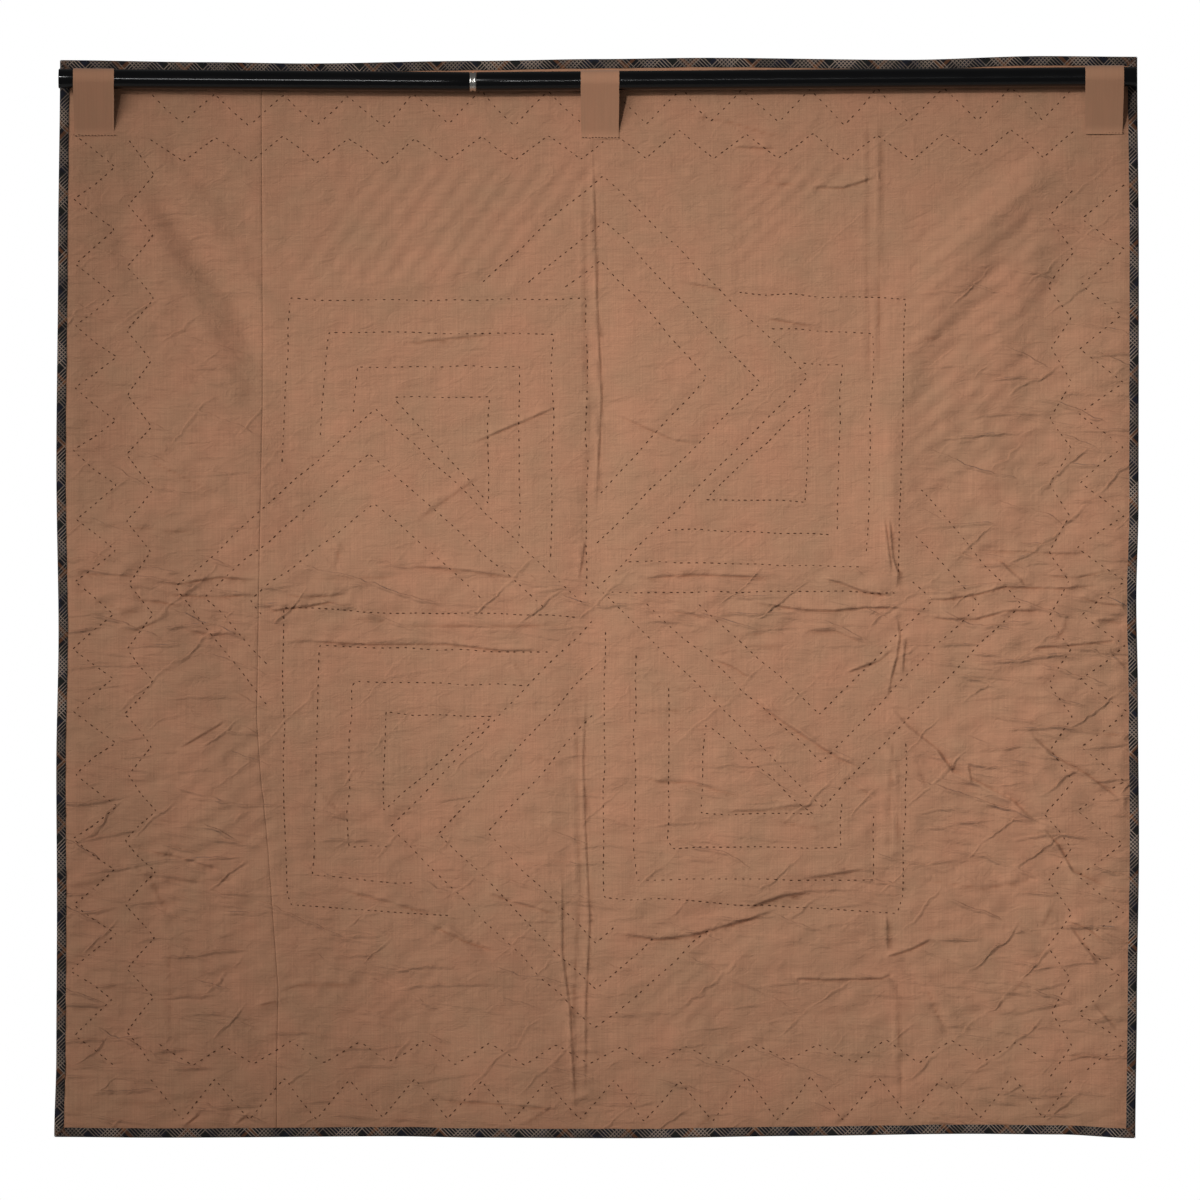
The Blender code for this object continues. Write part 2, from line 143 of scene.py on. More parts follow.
backdrop = world.node_tree
backdrop.nodes.clear()
white = linear("#ffffff")
soft_light = add_node(backdrop, "Background", {"Color": white, "Strength": AMBIENT})
plain_white = add_node(backdrop, "Background", {"Color": white, "Strength": 1.0})
rays = add_node(backdrop, "LightPath")
seen = add_node(backdrop, "MixShader", {0: rays.outputs["Is Camera Ray"], 1: soft_light, 2: plain_white})
add_node(backdrop, "OutputWorld", {"Surface": seen})


def finished(bm, name, material, smooth_angle=40):
    """A shown piece from a bmesh that already has its place."""
    mesh = bpy.data.meshes.new(name)
    bm.to_mesh(mesh)
    bm.free()
    mesh.shade_smooth()
    mesh.set_sharp_from_angle(angle=math.radians(smooth_angle))
    mesh.materials.append(material)
    piece = bpy.data.objects.new(name, mesh)
    bpy.context.scene.collection.objects.link(piece)
    return piece


def new_material(name):
    """An empty material, with the tree to fill."""
    material = bpy.data.materials.new(name)
    material.use_nodes = True
    material.node_tree.nodes.clear()
    return material, material.node_tree


# Matt pale paint, rolled: no gloss, and a hardly seen grain.
floor_paint, tree = new_material("pale_matt_paint")
place = add_node(tree, "TexCoord").outputs["Object"]
grain = add_node(tree, "TexNoise", {"Vector": place, "Scale": 60.0, "Detail": 3.0})
tint = add_node(tree, "Mix", {0: grain, 6: linear("#e9e8e6"), 7: linear("#f1f0ee")}, data_type="RGBA")
paint = add_node(tree, "BsdfPrincipled", {"Base Color": tint, "Roughness": 0.9})
add_node(tree, "OutputMaterial", {"Surface": paint})

FLOOR_LEVEL = -1.62
bm = bmesh.new()
bmesh.ops.create_circle(
    bm, cap_ends=True, segments=96, radius=1.25, matrix=Matrix.Translation((0, 0, FLOOR_LEVEL)),
)
floor = finished(bm, "floor", floor_paint)
floor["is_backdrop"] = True

# ---------------------------------------------------------------------------------------------
# The backing: two widths of plain brown cotton
# A narrow width and a full one, seamed near the left edge, quilted by hand through wadding to the
# patchwork behind. It hangs in long soft folds from the tabs and keeps the creases of its storage.

HALF_WIDTH = 0.702
TOP_EDGE = 0.0235
HEIGHT = 1.400
THICKNESS = 5.0 * MM
EDGE_THICKNESS = 3.0 * MM
BINDING_WIDTH = 12.0 * MM
BINDING_THICKNESS = 1.1 * MM
GAP = 0.3 * MM
CLOTH_EDGE = BINDING_THICKNESS + GAP  # where the cloth ends, from the outline
EDGE_EASE = 8.0 * MM  # how wide the cloth rises from under the binding to its full thickness
MIDDLE_DEPTH = 18.5 * MM  # how far behind the rod's centre the quilt hangs
HEM_SWAY = 5 * MM
SWAY_LENGTH = 0.62
STRAIGHT_TO = -0.02  # above this height the tabs hold the cloth straight, and it folds from there on
FOLDS_EASE = 0.14

# How far each edge bows outwards: place along the edge (cm), outwards (mm)
TOP_BOW = [
    (-70, 0), (-51, -2.6), (-38, -4.3), (-16, -1), (0, 1.4), (14, 3), (40, 0.4), (58, 5.3), (70, 4.4),
]
HEM_BOW = [
    (-70, 0.3), (-58, 1), (-26, -0.4), (-16, 1.3), (4, 1.7), (26, -1), (49, -3.6), (60, -3), (70, 1.7),
]
LEFT_BOW = [
    (-138, 4.8), (-127, 2.1), (-107, 1.2), (-90, 2), (-72, -0.9), (-50, 2), (-23, -0.3), (2, -2.9),
]
RIGHT_BOW = [
    (-138, -3), (-120, -1), (-100, 1.7), (-80, 0.4), (-68, -1.7), (-55, 1.3), (-23, 1.7), (2, -0.4),
]

SHORT_FOLD = 4  # folds up to this half-width (cm) die away at their ends

# Broad folds: push towards the viewer (mm), half-width (cm), the line it follows (cm across, cm up)
FOLDS = [
    (-11, 6, [(-61, -13), (-49, -29), (-39, -46), (-36, -57)]),
    (-5, 5, [(-65, -25), (-61, -48)]),
    (13, 7, [(-61, -63), (-55, -80), (-45, -97), (-33, -107), (-20, -117), (-8, -129)]),
    (7, 5, [(62, -10), (54, -20), (44, -29), (40, -42), (39, -57)]),
    (-4, 3, [(-1, -13), (0, -29), (1, -42), (-1, -68), (-2, -94), (-3, -134)]),
    (6, 9, [(57, -60), (58, -92)]),
    (-5, 8, [(20, -124), (52, -122)]),
]

# Smaller folds that lie on the broad ones, and two broad but slight ones, in the same terms
SMALL_FOLDS = [
    (5.0, 1.6, [(-60.5, -8.0), (-52, -17), (-44, -28), (-39, -37)]),
    (-5.0, 1.6, [(-62.0, -9.5), (-55, -18.5), (-47.5, -29), (-42, -41)]),
    (4.2, 1.6, [(-63.0, -12), (-57, -21), (-50.5, -33), (-45, -46)]),
    (-3.2, 1.4, [(-64.0, -16), (-60, -26), (-55, -38)]),
    (-3.0, 1.3, [(-59, -6.5), (-50.5, -13.5), (-42, -22)]),
    (2.5, 1.2, [(-57, -5.5), (-49, -11), (-41, -18)]),
    (4.5, 2.0, [(61, -9.5), (50, -19), (41, -27)]),
    (-4.5, 2.0, [(61.5, -11.5), (52, -24), (44, -37), (40, -50)]),
    (3.0, 2.2, [(62, -15), (55, -28), (49, -45)]),
    (-2.0, 1.3, [(57, -8), (48, -14), (40, -20)]),
    (2.4, 1.1, [(38.2, -42), (38.2, -57), (38.9, -64)]),
    (5.0, 3.0, [(-35, -101), (-20, -112), (-8, -122)]),
    (-5.0, 4.0, [(-40, -106), (-28, -117), (-14, -129)]),
    (-4.0, 3.0, [(3, -110), (14, -112), (26, -107), (36, -104)]),
    (3.0, 2.5, [(3, -106), (20, -106), (36, -100)]),
    (2.0, 2.0, [(-40, -27), (-25, -27), (-10, -22)]),
    (-6.5, 1.7, [(37.9, -82.6), (44, -89), (50, -94.0), (58, -100.5), (68, -108)]),
    (6.5, 1.6, [(39, -79.5), (46, -86), (53, -91), (60, -96.5), (68, -102)]),
    (3.5, 2.0, [(45, -81), (52, -88), (60, -94), (69, -99)]),
    (-3.0, 1.6, [(42, -94), (48, -100), (55, -108), (62, -118)]),
    (3.0, 1.6, [(55, -76), (60, -82), (68, -90)]),
    (-3.0, 1.5, [(57, -86.5), (63, -92.0), (68.5, -96.5)]),
    (3.0, 1.8, [(60, -107.5), (64, -111.5), (69, -116)]),
    (-3.0, 2.0, [(-36, -112), (-24, -120), (-12, -131)]),
    (3.0, 1.6, [(-20, -128), (-12, -127), (-4, -130)]),
    (-2.5, 1.6, [(-56, -80), (-50, -84), (-44, -91)]),
    (2.5, 1.6, [(-60, -86), (-52, -91), (-45, -99)]),
    (5.0, 10.0, [(-42, -70), (-36, -86), (-26, -98), (-14, -108)]),
    (-6.0, 5.5, [(62, -14), (59, -28), (57.5, -42), (58, -58)]),
]

# The section of a crease, a sum of humps: height as a share of the crease's own, then the centre and the
# half-width in half-widths of the crease. Its cloth stands up on the side that TUCK_SIDE points to.
TUCK = [(1.0, -0.42, 0.40), (-0.75, 0.32, 0.36), (0.55, -1.2, 1.5), (-0.25, 1.2, 1.1)]
TUCK_SIDE = (-0.8, 0.6)
FOLD_LINE = -0.685  # the height at which the quilt was folded in half
DARKEST_CREASE = 2.4  # from this height (mm) on, its bottom gets the full painted shade

# Creases: height (mm), half-width (mm), the line it follows (cm across, cm up)
CREASES = [
    # across the left border
    (1.4, 4.1, [(-67.4, -64.3), (-63.5, -64.5), (-59.7, -64.7)]),
    (2.0, 4.1, [(-57.4, -65.5), (-54.4, -65.7), (-49.0, -64.8), (-44.4, -65.3)]),
    (2.1, 3.6, [(-60.1, -66.5), (-59.3, -67.8), (-57.0, -68.0), (-54.0, -68.6)]),
    (1.3, 4.1, [(-66.0, -67.4), (-62.0, -69.0), (-59.0, -69.4)]),
    (2.2, 4.1, [(-56.0, -67.1), (-49.8, -67.4), (-44.4, -67.1)]),
    (1.2, 4.1, [(-66.4, -57.9), (-50.5, -59.1)]),
    (1.2, 4.1, [(-59.1, -49.1), (-49.9, -53.8)]),
    (1.5, 3.6, [(-62.4, -71.4), (-60.1, -71.7), (-57.0, -70.5)]),
    (1.4, 3.6, [(-54.4, -71.4), (-50.5, -72.3), (-46.0, -72.2)]),
    (1.5, 3.2, [(-54.5, -87.2), (-48.2, -83.5)]),
    (0.9, 3.0, [(-68.7, -104.6), (-63.8, -104.5)]),
    (0.9, 3.0, [(-57.8, -104.2), (-46.5, -104.1)]),
    (1.6, 3.6, [(-60.3, -99.9), (-54.9, -101.1), (-48.8, -102.9)]),
    (1.1, 3.0, [(-60.6, -101.9), (-58.4, -104.3)]),
    (1.2, 3.0, [(-58.8, -102.8), (-55.8, -109.4)]),
    (0.9, 3.0, [(-55.7, -110.8), (-55.8, -125.1)]),
    (0.9, 3.0, [(-66.4, -118), (-60.1, -118.1)]),
    (1.1, 3.0, [(-68.7, -120.8), (-65.9, -121.0)]),
    (0.9, 3.0, [(-64.2, -132.9), (-56.5, -133.1)]),
    (0.8, 3.0, [(-63.5, -128.7), (-63.4, -132.8)]),
    (1.4, 3.2, [(-53.8, -136.2), (-51.7, -134.6)]),
    (1.4, 3.2, [(-47.3, -136.2), (-45.2, -134.4)]),
    (1.4, 3.6, [(-44.4, -120.6), (-39.9, -119.5)]),
    # across the middle, left of the centre
    (2.3, 3.2, [
        (-43.6, -67.8), (-42.1, -69.2), (-40.6, -69.0), (-37.5, -68.6), (-34.9, -68.1), (-32.2, -68.3),
    ]),
    (1.5, 3.6, [(-41.0, -67.0), (-38.3, -67.4), (-32.6, -67.1)]),
    (1.3, 3.6, [(-38.7, -65.0), (-34.9, -65.0), (-25.3, -64.8)]),
    (1.6, 4.1, [(-26.1, -63.8), (-23.4, -63.5), (-17.6, -63.9), (-8.1, -65.3)]),
    (1.3, 3.6, [(-34.9, -70.1), (-29.1, -70.3), (-26.1, -71.0), (-13.8, -71.2), (-2.4, -71.0)]),
    (2.1, 3.2, [(-40.2, -73), (-29.6, -73.6), (-19.7, -73.5), (-12.4, -74.4), (-5.8, -74.4)]),
    (1.2, 3.2, [(-33.5, -60.0), (-34.3, -64.0)]),
    (1.4, 3.2, [(-1.6, -60.0), (-2.4, -65.0)]),
    (1.1, 3.6, [(-11.1, -76.0), (-9.6, -77.8)]),
    (1.0, 3.2, [(-5.8, -77.9), (-2.4, -77.9)]),
    (1.2, 4.1, [(-24, -57.7), (-15, -51.4)]),
    (1.5, 4.1, [(-16.7, -47.6), (-4.5, -42.4)]),
    (1.1, 4.1, [(-12.7, -88.1), (-7.8, -88.1), (-4.6, -89.3)]),
    (1.1, 4.9, [(-36.2, -92.6), (-34.6, -94.6), (-32.6, -96.2)]),
    (1.8, 6.0, [(-33.8, -105.2), (-26.5, -107.2), (-20.4, -108.8)]),
    (2.3, 5.7, [(-22, -109.7), (-17.4, -112), (-12.4, -113.7)]),
    (1.8, 4.9, [(-15.1, -105.6), (-10.2, -107.2), (-4.6, -108.8)]),
    (1.2, 5.0, [(-41.9, -118.8), (-38.7, -117.7), (-30.6, -117.7)]),
    (1.9, 4.9, [(-21.3, -132.8), (-14.3, -133.2), (-4.6, -134.0)]),
    (1.2, 3.6, [(-9.8, -136.0), (-5.8, -133.6)]),
    # across the middle, right of the centre
    (2.2, 4.1, [(4.9, -65.2), (8.0, -64.8), (11.8, -64.5), (15.6, -64.6), (23.3, -64.9)]),
    (3.2, 4.1, [(28.6, -64.8), (32.0, -65.7), (34.7, -66.8), (38.5, -67.3)]),
    (2.6, 3.2, [(19.4, -68.0), (23.3, -68.6), (27.1, -69.1), (30.9, -69.2), (34.7, -68.8), (40.9, -68.8)]),
    (2.2, 3.2, [(40.4, -67.6), (44.9, -67.8), (49.2, -67.1), (52.8, -66.1), (60.1, -66.3), (66.9, -65.8)]),
    (1.5, 4.1, [(8.7, -69.2), (11.8, -69.5), (14.5, -70.3)]),
    (1.8, 3.6, [(26.7, -71.8), (30.9, -71.8), (33.2, -72.8), (34.9, -73.4)]),
    (1.3, 3.6, [(17.9, -72.4), (20.6, -72.2), (24.4, -72.3)]),
    (1.2, 3.6, [(17.5, -73.6), (24.4, -73.7)]),
    (1.1, 3.6, [(14.9, -74.7), (18.3, -74.4)]),
    (1.7, 4.1, [(14.9, -75.5), (17.5, -76.4), (20.2, -78.2)]),
    (3.0, 4.9, [(20.2, -80.3), (23.2, -83.0), (27.1, -85.6), (29.4, -87.1), (31.7, -88.5), (34.9, -89.9)]),
    (2.0, 4.1, [(32.0, -77.5), (34.7, -76.4), (36.6, -75.7), (38.5, -74.1)]),
    (1.1, 3.6, [(14.5, -80.4), (17.9, -80.8)]),
    (1.0, 4.9, [(6.0, -82.4), (9.9, -82.1), (13.7, -81.4)]),
    (1.0, 3.6, [(6.8, -78.7), (9.5, -78.7), (12.2, -79.9)]),
    (1.7, 5.7, [(4.5, -90.4), (8.0, -91.3), (12.5, -91.5), (15.6, -92.5), (19.4, -93.3)]),
    (1.5, 5.0, [(16.4, -95.2), (21.4, -95.2), (25.2, -94.6), (29.4, -94.6)]),
    (1.2, 4.1, [(23.3, -96.3), (27.1, -97.4), (31.7, -96.7)]),
    (1.5, 4.1, [(31.7, -90.6), (34.0, -92.1), (36.3, -93.6)]),
    # the right border
    (3.0, 4.9, [
        (37.9, -81.6), (40.5, -84.4), (44.3, -87.5), (46.2, -90.2), (49.6, -91.7), (54.0, -94.0),
        (57.8, -97.6),
    ]),
    (2.4, 4.1, [(57.3, -97.0), (59.9, -99.8), (61.8, -103.2), (67.0, -105.6)]),
    (2.4, 4.1, [(56.1, -84.8), (56.9, -86.0), (60.0, -88.7), (63.4, -90.5), (66.1, -92.5), (68.7, -94.4)]),
    (1.7, 3.2, [(48.1, -89.0), (48.7, -91.7)]),
    (1.2, 3.2, [(41.6, -89.8), (42.7, -92.5)]),
    (1.6, 3.6, [(49.6, -61.5), (55.7, -61.5), (60.0, -61.8), (63.4, -61.7)]),
    (1.4, 3.6, [(57.7, -64.6), (62.3, -64.9), (66.9, -63.8)]),
    (1.6, 3.6, [(50.8, -62.5), (52.3, -62.9), (55.0, -65.3), (55.7, -66.3)]),
    (2.1, 3.6, [(42.4, -69.9), (45.4, -70.3), (49.2, -70.3), (53.1, -69.2), (58.4, -69.2)]),
    (1.9, 3.6, [(62.3, -67.3), (65.3, -68.2), (68.4, -68.6)]),
    (1.5, 3.6, [(64.5, -70.3), (66.9, -70.5), (68.4, -71.1)]),
    (2.2, 3.2, [(55.0, -74.3), (58.4, -73.9), (61.5, -73.7), (66.9, -73.1), (67.8, -74.5)]),
    (1.3, 3.6, [(61.1, -69.6), (60.4, -71.8), (59.2, -73.4)]),
    (1.3, 3.6, [(63.0, -84.8), (65.3, -85.0), (68.7, -85.4)]),
    (1.7, 3.6, [(66.5, -74.5), (68.7, -76.8)]),
    (2.1, 3.6, [(60.7, -109.4), (63.8, -110.5), (67.2, -113.2)]),
    (1.5, 3.6, [(61.1, -109.8), (63.0, -112.5), (65.3, -115.5)]),
    (1.2, 3.6, [(57.7, -110.5), (59.2, -107.1)]),
    (1.1, 3.0, [(52.5, -120.5), (55.4, -117.0), (58.4, -112.6)]),
    (1.3, 4.1, [(42.4, -117.8), (45.0, -123.9)]),
    (1.5, 3.6, [(64.2, -120.1), (67.6, -123.9)]),
    (1.1, 3.6, [(60.7, -126.9), (67.2, -127.3)]),
    (1.2, 5.0, [(41.6, -104.0), (50.0, -105.2), (57.7, -104.0)]),
    # towards the hem, right of the centre
    (2.6, 5.7, [
        (2.0, -111.1), (7.6, -111.9), (11.8, -111.5), (15.6, -110.5), (19.4, -109.4), (25.0, -107.6),
    ]),
    (2.2, 6.0, [(18.7, -108.2), (24.0, -106.3), (28.6, -105.6)]),
    (1.7, 5.0, [(27.1, -104.0), (32.0, -103.3), (35.5, -102.5)]),
    (2.2, 4.1, [(24.8, -117.0), (30.1, -117.2), (37.0, -117.0), (38.9, -116.3)]),
    (2.2, 4.1, [(37.4, -114.3), (40.9, -113.2), (43.5, -111.9)]),
    (1.2, 3.6, [(12.5, -136.2), (14.9, -135.0)]),
    (1.2, 3.6, [(30.5, -136.2), (32.8, -134.4)]),
    # above the middle
    (1.5, 4.9, [(-25.7, -34.5), (-13.1, -33.2)]),
    (1.7, 4.1, [(27.1, -14.1), (32.0, -14.2), (36.6, -12.7)]),
    (1.2, 4.1, [(21.4, -13.5), (26.3, -13.8)]),
    (1.6, 4.1, [(21.7, -31.1), (26.3, -31.9), (28.6, -32.2)]),
    (1.4, 4.1, [(11.8, -26.6), (16.4, -27.5)]),
    (1.6, 3.2, [(17.1, -8.9), (23.3, -9.1)]),
    (1.2, 4.1, [(9.9, -4.3), (17.5, -5.7), (25.2, -8.1)]),
    (1.1, 4.1, [(40.9, -34.0), (44.7, -33.6)]),
    (1.4, 4.1, [(2.5, -43.7), (10.1, -47.1), (13.1, -47.4)]),
    # up and down, where it was folded in three
    (1.5, 2.8, [(-0.7, -7.5), (-0.5, -13.2), (-0.1, -28.8), (0.5, -41.8), (0.1, -49.6), (-0.3, -58.8)]),
    (1.0, 2.6, [(-2.0, -7.5), (-1.9, -28.8), (-1.3, -41.8), (-1.7, -60)]),
    (1.2, 3.0, [(-2.5, -78.2), (-2.8, -86), (-2.8, -93.8), (-2.5, -106.8), (-3.2, -119.8), (-2.8, -134.1)]),
    (1.5, 2.8, [(-1.4, -78.2), (-1.9, -88.6), (-1.5, -100.3), (-1, -109.4), (-1.5, -119.8), (-1.6, -134.1)]),
    (1.6, 3.0, [(-4.6, -102.4), (-4.6, -113.7), (-3.6, -121), (-3.2, -128.6), (-2.8, -135.3)]),
    (1.1, 3.2, [(34.9, -2.8), (34.9, -28.8), (35.2, -41.8)]),
    (1.2, 3.2, [(36.7, -2.8), (36.5, -28.8), (36.2, -41.8)]),
    (2.0, 3.2, [(37.9, -56.7), (38.4, -62.3), (39.1, -64.3), (38.9, -67)]),
    (1.7, 3.2, [(37.2, -56.7), (38.3, -64.5)]),
    (1.5, 3.2, [(38.9, -69.5), (39.3, -72.6), (38.9, -75.3), (38.2, -77.9), (37.6, -81.4)]),
    (1.5, 3.2, [(40.1, -72.6), (39.8, -75.3), (39.7, -77.5)]),
    (1.1, 3.2, [(37.8, -84.4), (38.2, -87.5), (37.8, -94.4), (37.6, -101.3)]),
    (1.0, 3.2, [(38.9, -86.8), (38.9, -101.3)]),
    (1.5, 4.1, [(37.6, -108.6), (37.8, -113.7)]),
    (1.2, 4.1, [(38.8, -116.3), (39.3, -133.6)]),
]

# Dark quilting: the arrows of the four arms, then the nested squares, in cm across and up
ARROWS = [
    [(-1.9, -68.3), (-28.9, -43), (-54.9, -66.2), (-42.6, -82.1)],
    [(-6.8, -69), (-29.6, -48.8), (-51.2, -67.4), (-42.6, -76.6)],
    [(-15, -67.8), (-28.9, -55.2), (-45.3, -67.8), (-43.2, -70.3)],
    [(-0.5, -70.3), (-27, -97.4), (-0.2, -123.8), (15.1, -110)],
    [(-0.5, -76.5), (-20.7, -98.1), (-0.2, -118.6), (8.5, -110.6)],
    [(-0.5, -82.6), (-14.4, -98.1), (-0.2, -112.4), (3.2, -109.7)],
    [(-1, -65.3), (29.2, -94.6), (54.9, -68.4), (41.3, -52.6)],
    [(6.2, -68.2), (29.2, -88.9), (49.5, -68.3), (40.6, -58.7)],
    [(12.9, -68.2), (28.9, -82.7), (43.6, -67.8), (40.2, -64.7)],
    [(0.5, -65.7), (27.4, -38.9), (0.7, -12.5), (-15.4, -27)],
    [(-0.3, -60.6), (21.1, -39.6), (1.1, -18.7), (-9.4, -26.7)],
    [(0.1, -54.3), (14.2, -38.7), (0.3, -23.6), (-4.5, -27.2)],
]
SQUARES = [
    [(-41.1, -50.1), (-40, -28.8), (-1.5, -28.8), (-1.5, -67.8)],
    [(-36.1, -46.6), (-35, -33.1), (-5.8, -33.3), (-6, -63)],
    [(-31.8, -43.7), (-31.1, -37.5), (-10.1, -37.5), (-10.3, -60)],
    [(-26.6, -41.5), (-14.2, -41.5), (-14.2, -55.1), (-26.6, -41.5)],
    [(18.1, -27.8), (40, -28.8), (39.1, -64.3)],
    [(1.5, -66.8), (38.9, -66.8)],
    [(22.4, -32.6), (35.9, -33.2), (34.9, -62.3)],
    [(3.8, -62.9), (34.6, -63.4)],
    [(26.3, -37), (31.7, -37.2), (31.1, -59.1)],
    [(8.8, -58.8), (31, -59.3)],
    [(13.8, -54.8), (27, -55.1), (27.5, -42.3), (13.8, -54.8)],
    [(1, -71.7), (0.7, -106.4), (38.9, -108.5), (39.6, -106.4), (40.2, -86)],
    [(5, -74.7), (4.7, -103.4), (5.1, -104.2), (35.8, -104.2), (35.9, -94.8)],
    [(9.2, -79), (9.2, -99), (9.8, -100), (31.5, -100), (31.7, -93.8)],
    [(14.1, -83.8), (13.3, -95.7), (27.9, -95.7), (14.1, -83.8)],
    [(-2.8, -70.1), (-40.8, -69), (-41, -80.8), (-40.4, -106), (-39.8, -107.4), (-18.8, -108.9)],
    [(-6.2, -74.6), (-35.9, -73.8), (-36.2, -74.3), (-37, -103.5), (-36.3, -103.7), (-22.7, -104.7)],
    [(-9.4, -79), (-31.5, -78.5), (-32, -79.2), (-32.7, -99), (-32.2, -100), (-26.3, -100)],
    [(-13.7, -83), (-27.6, -82.5), (-28, -95.1), (-13.7, -83)],
]

# Zigzag borders: side, how far in from the edge the first turn and the next one lie (m), place of the
# first turn along the edge (m), and from one such turn to the next (m)
ZIGZAGS = [
    ("top", 0.040, 0.083, -0.582, 0.0860),
    ("top", 0.098, 0.130, -0.581, 0.0860),
    ("hem", 0.076, 0.022, -0.582, 0.0860),
    ("hem", 0.122, 0.095, -0.571, 0.0860),
    ("left", 0.020, 0.074, -0.072, 0.0835),
    ("left", 0.090, 0.124, -0.080, 0.0828),
    ("right", 0.018, 0.076, -0.137, 0.0860),
    ("right", 0.086, 0.115, -0.140, 0.0860),
]
ZIGZAG_PITCH = 0.0860
ZIGZAG_END = 0.075

# Quilting in thread of the cloth's own colour: first line, last line (cm across, cm up), how many
HATCHING = [
    ([(-56.2, -6.7), (-39.3, -21.6)], [(-56.2, -47.0), (-39.3, -62.0)], 15),
    ([(40.0, -22.9), (56.9, -9.3)], [(40.0, -57.4), (56.9, -43.7)], 13),
    ([(-40.0, -26.8), (-27.6, -11.2)], [(-12.7, -26.8), (-0.5, -11.2)], 10),
    ([(12.0, -11.2), (17.2, -15.8)], [(1.6, -11.2), (17.2, -25.5)], 5),
    ([(22.4, -11.2), (17.2, -15.8)], [(32.8, -11.2), (17.2, -25.5)], 5),
    ([(-56.2, -92.5), (-41.9, -80.8)], [(-56.2, -110.7), (-41.9, -99.0)], 7),
    ([(-23.1, -123.0), (-19.2, -119.4)], [(-33.5, -123.0), (-19.2, -109.4)], 5),
    ([(-15.3, -123.0), (-19.2, -119.4)], [(-4.9, -123.0), (-19.2, -109.4)], 5),
    ([(14.0, -123.7), (17.9, -119.8)], [(3.6, -123.7), (17.9, -110.0)], 5),
    ([(21.8, -123.7), (17.9, -119.8)], [(32.8, -123.7), (17.9, -110.0)], 5),
    ([(36.7, -114.6), (43.2, -125.0)], [(47.1, -112.0), (54.9, -123.7)], 5),
    ([(41.3, -73.0), (58.2, -85.3)], [(41.3, -101.6), (58.2, -113.9)], 11),
]

STITCH_PITCH = 9.5 * MM
GROOVE_DEPTH = 0.85 * MM
GROOVE_HALF_WIDTH = 8.0 * MM
GROOVE_ENDS = 10.0 * MM  # how far from its ends a line of stitches is pressed in fully
HATCH_DEPTH = 2.3 * MM
HATCH_HALF_WIDTH = 9.0 * MM
HAND_STEP = 35.0 * MM  # a hand-drawn line wavers from one such step to the next
HAND_WOBBLE = 1.1 * MM
TURN_WOBBLE = 1.6 * MM  # how unevenly the turns of a zigzag lie
HOLLOW_LIMIT = 0.65 * MM  # how far the cloth may be pressed in beyond the level of its bound edge
LEAST_CRUMPLE, MORE_CRUMPLE = 0.50, 3.1  # depth of the fine wrinkles (mm), and what folding adds to it


def smooth(t):
    """Eases from 0 to 1."""
    t = np.clip(t, 0.0, 1.0)
    return t * t * (3 - 2 * t)


def bow(table, place):
    """How far an edge bows outwards at places along it, all in metres."""
    at = np.array([row[0] for row in table]) * CM
    out = np.array([row[1] for row in table]) * MM
    i = np.clip(np.searchsorted(at, place) - 1, 0, len(at) - 2)
    return out[i] + (out[i + 1] - out[i]) * smooth((place - at[i]) / (at[i + 1] - at[i]))


def edge_at(side, place, inset):
    """Where one side of the quilt lies at places along it, inset from its outline."""
    if side == "top":
        return TOP_EDGE + bow(TOP_BOW, place) - inset
    if side == "hem":
        return TOP_EDGE - HEIGHT - bow(HEM_BOW, place) + inset
    if side == "left":
        return -HALF_WIDTH - bow(LEFT_BOW, place) + inset
    return HALF_WIDTH + bow(RIGHT_BOW, place) - inset


def inset_at(x, z):
    """How far flat points lie inside the outline."""
    return np.minimum.reduce([
        x - edge_at("left", z, 0), edge_at("right", z, 0) - x,
        edge_at("top", x, 0) - z, z - edge_at("hem", x, 0),
    ])


def eased_ends(place, length, reach):
    """Eases in from one end of a line and out to the other, within a reach."""
    return smooth(place / reach) * smooth((length - place) / reach)


def boxed(line, reach, x, z):
    """Which flat points lie in the box round a line, grown by a reach."""
    low, high = line.min(0) - reach, line.max(0) + reach
    return (x > low[0]) & (x < high[0]) & (z > low[1]) & (z < high[1])


def distance_to(line, x, z):
    """How far flat points are from a line, how far along it, its length, and on which side."""
    nearest, place, side, passed = np.full(x.shape, np.inf), np.zeros(x.shape), np.ones(x.shape), 0.0
    for (ax, az), (bx, bz) in zip(line, line[1:]):
        run = math.hypot(bx - ax, bz - az)
        share = np.clip(((x - ax) * (bx - ax) + (z - az) * (bz - az)) / run ** 2, 0, 1)
        away = np.hypot(x - ax - share * (bx - ax), z - az - share * (bz - az))
        closer = away < nearest
        nearest = np.where(closer, away, nearest)
        place = np.where(closer, passed + share * run, place)
        side = np.where(closer, np.sign((bx - ax) * (z - az) - (bz - az) * (x - ax)), side)
        passed += run
    return nearest, place, passed, side


def rough(x, z, wide, high, layer):
    """Smooth unevenness from -1 to 1, with bumps about so wide and high (m)."""
    points = zip(np.ravel(x) / wide, np.ravel(z) / high)
    return np.array([noise.noise(Vector((a, b, layer))) for a, b in points]).reshape(np.shape(x))


